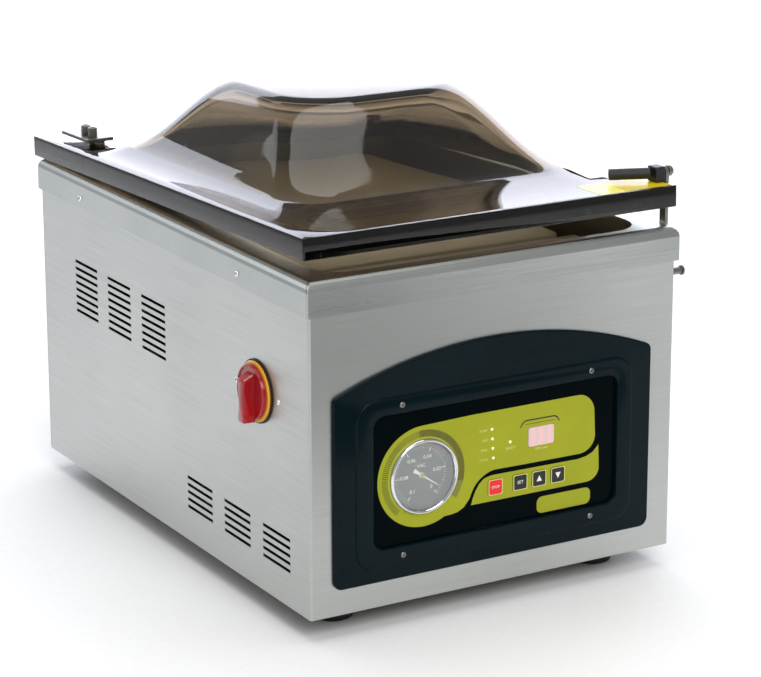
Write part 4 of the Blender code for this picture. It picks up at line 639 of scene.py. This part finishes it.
# Raised letters centred on (x, z), facing the front
def wordShape(words, size, x, z, y, depth, turn=0.0):
    curve = bpy.data.curves.new("words", "FONT")
    curve.body = words
    curve.size = size
    curve.align_x = "CENTER"
    curve.align_y = "CENTER"
    curve.extrude = depth / 2
    curve.resolution_u = 3
    holder = bpy.data.objects.new("words", curve)
    mesh = bpy.data.meshes.new_from_object(holder)
    cosine, sine = math.cos(turn), math.sin(turn)
    points = [(x + v.co.x * cosine - v.co.y * sine, y - v.co.z, z + v.co.x * sine + v.co.y * cosine)
              for v in mesh.vertices]
    faces = [tuple(p.vertices) for p in mesh.polygons]
    bpy.data.objects.remove(holder)
    bpy.data.curves.remove(curve)
    bpy.data.meshes.remove(mesh)
    return points, faces


def words(name, items, finish, body="cabinet", slot="overlay_film"):
    return makePiece(name, [wordShape(*item) for item in items], finish, body)


def growBox(box, by):
    return box[0] - by, box[1] + by, box[2] - by, box[3] + by


def buildInks():
    cx, cz = ink["disc"]
    r = ink["discRadius"]
    field = [(cx + r * math.cos(a), cz + r * math.sin(a)) for a in arc(-62, -270, 52)]
    field += [(150, 149.3)] + bendCorner((254, 149.4), (270, 149.4), (270.4, 133))
    field += bendCorner((271.4, 112), (271.4, 98), (256, 97.8)) + [(200, 98.2)]
    field += bendCorner((172, 98.6), (158, 97.5), (151.4, 85.2))
    field += [(147.6, 77.0), (142.5, 71.2), (136.5, 68.2), (130.0, 67.2)]
    strip = [(149.5, 71.7)] + [(151.2, 77.2), (153.6, 83),
                               (157.1, 88.4)] + bendCorner((161.4, 92.2), (166, 94.4), (173, 94.2))
    strip += [(254.3, 93.4), (262.6, 94.5), (269.3, 97.2), (275.0, 102.8)]
    strip += bendCorner((275.8, 82.5), (275.6, 71.9), (263.5, 71.8))
    badge = roundedRect(214, 267.5, 52.4, 66.9, 5.2)
    olive = printed("olive_field", [field, strip, badge], "oliveInk", "olive")
    holes = [turned([(ink["hole"], -3), (ink["hole"], 3)], "Y", ink["disc"], 64)]
    holes.append(plate(roundedRect(*growBox(keyBox("display_window"), 0.15), 0.6), "Y", -3, 3))
    holes += [plate(roundedRect(*growBox(keyBox(node), 0.45), 1.9), "Y", -3, 3) for node, _ in ink["keys"]]
    carve(olive, several(holes))

    def sector(start, end, inner, outer, steps=40):
        return ([(cx + outer * math.cos(a), cz + outer * math.sin(a)) for a in arc(start, end, steps)]
                + [(cx + inner * math.cos(a), cz + inner * math.sin(a)) for a in arc(end, start, steps)])
    printed("dial_shade", [sector(96, -38, 33.4, 39.2)], "shadeOliveInk", low=-1.22)
    # painted highlight: a lighter olive arc along the ring's upper side
    printed("dial_painted_highlight", [sector(30, 235, 31.4, 32.9)], "oliveInkPaintedHighlight", low=-1.22)
    dark, faint = [], []
    for i in range(96):
        angle = 228 - i * 2.55
        tick = sector(angle - 0.42, angle + 0.42, 33.6, 39.0, 1)
        (dark if angle > 128 else faint).append(tick)
    printed("dial_ticks", dark, "blackInk", low=-1.22)
    printed("dial_ticks_faint", faint, "darkOliveInk", low=-1.22)
    bracket = [(196.4, 130.6), (199.3, 134.6), (202.2, 136.2), (230.6, 136.0), (233.4, 134.6),
               (235.8, 130.8),
               (234.9, 130.4), (232.6, 133.7), (230.3,
                                                134.9), (202.4, 135.1), (200.0, 133.8), (197.3, 130.2)]
    under = [(201.6, 132.6), (231.2, 132.4), (231.2, 131.9), (201.6, 132.1)]
    printed("display_bracket", [bracket], "blackInk", low=-1.22)
    printed("display_line", [under], "darkOliveInk", low=-1.22)
    words("captions", [(text, 3.0, x, z, -1.28, 0.1) for text, x, z in ink["captions"]], "creamInk")
    lamps = [turned([(1.25, -1.2), (1.25, -1.45), (0.9, -1.8), (0.35, -1.95)], "Y", spot,
                    16) for spot in ink["lamps"]]
    # the lamp lenses glow faintly though unlit: a painted glow in their finish
    makePiece("lamps", lamps, "lampLensPaintedGlow", "cabinet")


buildInks()


def buildKeys():
    for node, _ in ink["keys"]:
        body = node.replace("_button", "_key")
        x0, x1, z0, z1 = keyBox(node)
        front = corners(node)[0].y
        rim = []
        for inset, y in ((-0.3, front + 0.35), (-0.3, front - 0.06), (0.35, front - 0.06),
                         (0.35, front + 0.35)):
            rim.append([(x, y, z) for x, z in roundedRect(*growBox((x0, x1, z0, z1), -inset), 1.5, 6)])
        makePiece(node + "_rim", [skin(rim, closed=True)], "creamInk", body)
        middle, level = (x0 + x1) / 2, (z0 + z1) / 2
        size = 3.3
        if node in ("stop_button", "set_button"):
            text = node[:-7].upper()
            words(node + "_word", [(text, size + 0.6 * (text == "SET"), middle, level, front - 0.03, 0.12)],
                  "whiteInk", body)
        else:
            up = 1 if node == "up_button" else -1
            triangle = [(middle - 2.6, level - 2.2 * up), (middle + 2.6, level - 2.2 * up),
                        (middle, level + 2.8 * up)]
            makePiece(node + "_mark", [plate(triangle, "Y", front + 0.3, front - 0.08)], "whiteInk", body)


buildKeys()

# Vacuum gauge
gauge = {"centre": (104, 105), "ring": 32.0, "inner": 28.6, "back": -1.5, "rise": 3.1, "dialFace": 3.0,
         "firstAngle": -50.0, "stepAngle": 58.0, "numbers": ("0", "0.02", "0.04", "0.06", "0.08", "0.1")}


def buildGauge():
    cx, cz = gauge["centre"]
    back, out = gauge["back"], gauge["back"] - gauge["rise"]
    r, inner = gauge["ring"], gauge["inner"]
    section = [(inner, back), (inner, out + 1.5), (inner + 0.25, out + 1.1), (inner + 0.8, out + 0.5)]
    section += [(inner + 1.6 + 0.8 * math.sin(a), out + 0.35 * (1 - math.cos(a))) for a in arc(-60, 60, 6)]
    section += [(r - 0.5, out + 0.9), (r - 0.12, out + 1.5), (r, out + 2.1), (r, back)]
    makePiece("gauge_bezel", [turned(section, "Y", (cx, cz), 96, closed=True)], "polishedChrome", "cabinet",
              replaces=("gauge_ring",))
    lens = inner - 0.3
    dome = [(lens, back), (lens, back - 0.7)] + [(lens * k / 6, back - 0.7 - 0.5 * (1 - (k / 6) ** 2))
                                                 for k in range(5, 0, -1)] + [(0.5, back - 1.2)]
    makePiece("gauge_lens", [turned(dome, "Y", (cx, cz), 64)], "clearGlass", "cabinet",
              replaces=("gauge_glass",))
    face = gauge["dialFace"]

    def mark(angle, r0, r1, wide):
        a = math.radians(angle)
        c, s = math.cos(a), math.sin(a)
        outline = [(cx + r0 * c + wide * s, cz + r0 * s - wide * c),
                   (cx + r1 * c + wide * s, cz + r1 * s - wide * c),
                   (cx + r1 * c - wide * s,
                    cz + r1 * s + wide * c), (cx + r0 * c - wide * s, cz + r0 * s + wide * c)]
        return plate(outline, "Y", face + 0.05, face - 0.06)

    def band(start, end, r0, r1):
        outline = ([(cx + r1 * math.cos(a), cz + r1 * math.sin(a)) for a in arc(start, end, 24)]
                   + [(cx + r0 * math.cos(a), cz + r0 * math.sin(a)) for a in arc(end, start, 24)])
        return plate(outline, "Y", face + 0.05, face - 0.06)
    shapes = []
    for i in range(51):
        angle = gauge["firstAngle"] + i * gauge["stepAngle"] / 10
        major = i % 10 == 0
        shapes.append(mark(angle, 20.2 if major else (21.4 if i % 5 == 0 else 22.2), 24.0,
                           0.32 if major else 0.14))
    shapes.append(band(128, 190, 24.9, 25.5))
    for k, text in enumerate(gauge["numbers"]):
        a = math.radians(gauge["firstAngle"] + k * gauge["stepAngle"])
        shapes.append(wordShape(text, 4.6, cx + 15.6 * math.cos(a), cz + 15.6 * math.sin(a), face - 0.02,
                                0.1))
    shapes.append(wordShape("VAC", 4.2, cx + 0.5, cz + 7.6, face - 0.02, 0.1))
    makePiece("dial_marks", shapes, "whiteInk", "cabinet")
    makePiece("dial_red", [band(28, 122, 24.9, 26.3)], "redInk", "cabinet")
    makePiece("dial_green", [band(193, 250, 24.9, 26.3)], "greenInk", "cabinet")
    hub = [(2.3, 0.25), (2.3, -0.15), (1.9, -0.45), (0.8, -0.55)]
    makePiece("needle_hub", [turned(hub, "Y", (cx, cz), 32)], "turnedBrass", "needle")


buildGauge()

# Main switch: plate and gasket are CAD pieces, the knob is finer here
knob = {"centre": (86.7, 170.0), "radius": 22.8, "inside": -3.7, "outside": -7.2, "rim": 1.6, "sink": 1.2,
        "gripTop": 16.5, "gripBottom": 24.5, "gripHalf": 6.75, "gripWaist": 4.25,
        "gripRise": 8.5, "slope": 4.0}


def buildKnob():
    cy, cz = knob["centre"]
    r, inside, outside = knob["radius"], knob["inside"], knob["outside"]
    inner = r - knob["rim"]
    base = [(4.0, inside), (r, inside), (r, outside + 0.9), (r - 0.25, outside + 0.3), (r - 0.8, outside),
            (inner + 0.3, outside), (inner, outside + 0.2), (inner - 0.4,
                                                             outside + knob["sink"]), (2.0, outside + 1.2)]
    makePiece("knob_base", [turned(base, "X", (cy, cz), 96)], "redNylon", "main_switch",
              replaces=("switch_knob",))

    def outline(lean, narrow):
        top, bottom = knob["gripTop"] - lean, -knob["gripBottom"] + narrow * 0.5
        middle, span = (top + bottom) / 2, (top - bottom) / 2
        side = []
        for i in range(25):
            z = bottom + i * span / 12
            wide = (knob["gripWaist"] + (knob["gripHalf"] - knob["gripWaist"]) * ((z - middle) / span) ** 2
                    - narrow)
            nip = min(1.0, min(i, 24 - i) / 1.5)
            side.append((wide * (0.72 + 0.28 * nip), z))
        return [(cy + w, cz + z) for w, z in side] + [(cy - w, cz + z) for w, z in reversed(side)]
    out = outside - knob["gripRise"]
    levels = [(outside + 2.0, 0, -0.4), (outside + 1.0, 0.1, 0), (outside - 2.0, 1.2, 0.15)]
    levels += [(out + 1.6 * (1 - math.sin(a)), knob["slope"] + 1.5 * (1 - math.cos(a)),
                0.4 + 1.5 * (1 - math.cos(a)))
               for a in arc(0, 80, 5)]
    rings = [[(x, y, z) for y, z in outline(lean, narrow)] for x, lean, narrow in levels]
    makePiece("knob_grip", [skin(rings)], "redNylon", "main_switch", replaces=("switch_knob",))
    dot = [(1.7, out + 0.3), (1.7, out - 0.05), (1.2, out - 0.05), (1.0, out + 0.25)]
    makePiece("knob_dot", [turned(dot, "X", (cy, cz - 4.5), 24)], "redNylon", "main_switch")


buildKnob()

# Screws: (name, axis, head's seat, centre, head radius, height)
screws = {"bezel": [("Y", -5.0, (82, 170)), ("Y", -5.0, (264, 170)), ("Y", -5.0, (83, 42.6)),
                    ("Y", -5.0, (265, 42.5))],
          "bezelSize": (2.5, 1.1),
          "side": [("X", 0.0, (122.6, 169.8)), ("X", 0.0, (50.8, 170.1)), ("X", -3.0, (418, 261.4)),
                   ("X", -3.0, (114, 262))],
          "sideSize": (2.7, 1.5),
          "rear": [("Y", 509.0, (12, 246)), ("Y", 509.0, (338, 246)), ("Y", 509.0, (12, 20)),
                   ("Y", 509.0, (338, 20)),
                   ("Y", 509.0, (175, 246))]}


# A domed head with a hexagon socket
def screwHead(axis, seat, spot, radius, height, outward, steps=28):
    socket = radius * 0.42
    profile = [(radius, seat), (radius * 0.97, seat + outward * height * 0.45),
               (radius * 0.82, seat + outward * height * 0.78), (radius * 0.6,
                                                                 seat + outward * height * 0.95),
               (socket, seat + outward * height), (socket * 0.9, seat + outward * height * 0.3)]
    return turned(profile, axis, spot, steps)


def buildScrews():
    radius, height = screws["bezelSize"]
    heads = [screwHead(axis, seat, spot, radius, height, -1) for axis, seat, spot in screws["bezel"]]
    makePiece("bezel_screws", heads, "platedSteel", "cabinet")
    radius, height = screws["sideSize"]
    heads = [screwHead(axis, seat, spot, radius, height, -1) for axis, seat, spot in screws["side"]]
    mirrored = [screwHead(axis, 350 - seat, spot, radius, height, 1) for axis, seat,
                spot in screws["side"][2:]]
    rear = [screwHead(axis, seat, spot, radius, height, 1) for axis, seat, spot in screws["rear"]]
    makePiece("cabinet_screws", heads + mirrored + rear, "polishedChrome", "cabinet")


buildScrews()

capScrew = {"radius": 4.2, "height": 8.6, "plateTop": 6.5, "knurls": 28, "depth": 0.28, "y": (452.0, 466.5)}


# Knurled socket heads on the hinge plates
def buildCapScrews():
    for side in ("left", "right"):
        shapes = []
        x = 27.0 if side == "left" else 350 - 27.0
        seat = lidTop + capScrew["plateTop"]
        for y in capScrew["y"]:
            r, top = capScrew["radius"], seat + capScrew["height"]
            rings = []
            for radius, z, knurl in ((r - 0.4, seat, 0), (r, seat + 0.4, 1), (r, top - 0.9, 1),
                                     (r - 0.5, top - 0.2, 0),
                                     (r - 1.0, top, 0), (2.3, top, 0), (2.2, top - 3.5, 0)):
                count = capScrew["knurls"] * 4
                rings.append([(x + (radius - knurl * capScrew["depth"] * (k % 4 > 1))
                               * math.cos(2 * math.pi * k / count),
                               y + (radius - knurl * capScrew["depth"] * (k % 4 > 1))
                               * math.sin(2 * math.pi * k / count),
                               z) for k in range(count)])
            shapes.append(skin(rings))
        makePiece("cap_screws_" + side, shapes, "platedSteel", "lid", onLid, sharp=25.0)


buildCapScrews()

# Labels on the lid: blank vinyl and paper
labels = {"lift": 0.05, "thick": 0.12, "pale": (278.5, 304.5, 5.0, 41.0), "deep": (305.2, 349.5, 5.0, 41.0),
          "seam": (304.5, 305.2, 5.0, 41.0), "paper": (303, 322, 58, 112), "rim": 1.6}


# How far the flare has risen over the slab at a spot, for a label that follows it
def flareHeight(x, y):
    a, b = lid["flare"], lid["crease"]
    inside = [(x - a[0]) / (b[0] - a[0]), (a[1] - x) / (a[1] - b[1]), (y - a[2]) / (b[2] - a[2]),
              (a[3] - y) / (a[3] - b[3])]
    t = max(0.0, min(1.0, min(inside)))
    return lid["flareRise"] * t * t


def buildLabels():
    def sheet(limits, steps=12):
        x0, x1, y0, y1 = limits
        low = lidTop + labels["lift"]
        points, faces = [], []
        for layer in (0, labels["thick"]):
            for i in range(steps + 1):
                for j in range(steps + 1):
                    x, y = x0 + (x1 - x0) * i / steps, y0 + (y1 - y0) * j / steps
                    points.append((x, y, low + flareHeight(x, y) + layer))
        row, count = steps + 1, (steps + 1) ** 2
        for i in range(steps):
            for j in range(steps):
                a = i * row + j
                faces += [(a, a + 1, a + row + 1, a + row),
                          (count + a, count + a + row, count + a + row + 1, count + a + 1)]
        border = ([i * row for i in range(row)] + [steps * row + j for j in range(1, row)]
                  + [i * row + steps for i in range(steps - 1, -1, -1)] + list(range(steps - 1, 0, -1)))
        faces += [(a, b, b + count, a + count) for a, b in zip(border, border[1:] + border[:1])]
        return points, faces
    makePiece("label_pale", [sheet(labels["pale"])], "paleVinyl", "lid", onLid)
    makePiece("label_deep", [sheet(labels["deep"])], "deepVinyl", "lid", onLid)
    makePiece("label_seam", [sheet(labels["seam"])], "yellowNylon", "lid", onLid)
    makePiece("label_paper", [sheet(labels["paper"])], "paperLabel", "lid", onLid)


buildLabels()
print("details made")

# Camera at the customer's eye, front left and a little above
view = {"place": (-1019.36, -1860.29, 859.46), "forward": (0.49094, 0.82845, -0.26954),
        "lens": 134.45, "sensor": 36.0, "shift": (-0.0260, -0.0488)}
eye = bpy.data.cameras.new("view")
eye.lens = view["lens"]
eye.sensor_width = view["sensor"]
eye.shift_x, eye.shift_y = view["shift"]
eye.clip_start, eye.clip_end = 0.1, 60.0
camera = bpy.data.objects.new("view", eye)
bpy.context.scene.collection.objects.link(camera)
camera.location = at(*view["place"])
camera.rotation_mode = "QUATERNION"
camera.rotation_quaternion = Vector(view["forward"]).to_track_quat("-Z", "Y")
bpy.context.scene.camera = camera

# Studio: pale sweep, soft sky, a long bright panel behind, a dark flag in front
studio = {"floorSize": 14.0, "sky": "#FFFFFF", "skyStrength": 0.42,
          "lights": (("backPanel", (1500, 3000, 1150), (150, 250, 250), (5.2, 2.0), 100.0, "#EEF1FF"),
                     ("topPanel", (175, 250, 2300), (175, 250, 0), (2.0, 2.0), 26.0, "#FFFFFF"),
                     ("frontPanel", (-400, -2600, 2200), (175, 0, 150), (2.0, 1.6), 58.0, "#FFFFFF"),
                     ("leftPanel", (-1500, 2500, 1500), (100, 250, 250), (1.1, 1.1), 5.0, "#F4FAFF")),
          "flag": ((150, -1050), (620, -430))}


def buildStudio():
    size = studio["floorSize"] / 2
    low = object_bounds()[0].z
    mesh = bpy.data.meshes.new("sweep")
    mesh.from_pydata([(-size, -size, low), (size, -size, low), (size, size, low), (-size, size, low)], [],
                     [(0, 1, 2, 3)])
    floor = bpy.data.objects.new("sweep", mesh)
    bpy.context.scene.collection.objects.link(floor)
    mesh.materials.append(finishes["sweepPaper"])
    world = bpy.data.worlds.new("sky")
    world.use_nodes = True
    sky = world.node_tree.nodes["Background"]
    sky.inputs["Color"].default_value = paint(studio["sky"])
    sky.inputs["Strength"].default_value = studio["skyStrength"]
    bpy.context.scene.world = world
    for name, spot, aim, (wide, tall), power, colour in studio["lights"]:
        lamp = bpy.data.lights.new(name, "AREA")
        lamp.shape = "RECTANGLE"
        lamp.size, lamp.size_y = wide, tall
        lamp.energy = power
        lamp.color = paint(colour)[:3]
        lit = bpy.data.objects.new(name, lamp)
        bpy.context.scene.collection.objects.link(lit)
        lit.location = at(*spot)
        lit.rotation_mode = "QUATERNION"
        lit.rotation_quaternion = (at(*aim) - at(*spot)).to_track_quat("-Z", "Y")
        lit.visible_camera = False
    (x0, y0), (x1, y1) = studio["flag"]
    mesh = bpy.data.meshes.new("flag")
    mesh.from_pydata([at(*p) for p in ((x0, y0, -18), (x1, y0, -18), (x1, y1, -18), (x0, y1, -18))], [],
                     [(0, 1, 2, 3)])
    flag = bpy.data.objects.new("flag", mesh)
    bpy.context.scene.collection.objects.link(flag)
    mesh.materials.append(finishes["velvetFlag"])
    flag.visible_camera = flag.visible_diffuse = flag.visible_transmission = flag.visible_shadow = False


buildStudio()
bpy.context.scene.view_settings.view_transform = "Standard"
print("studio made")
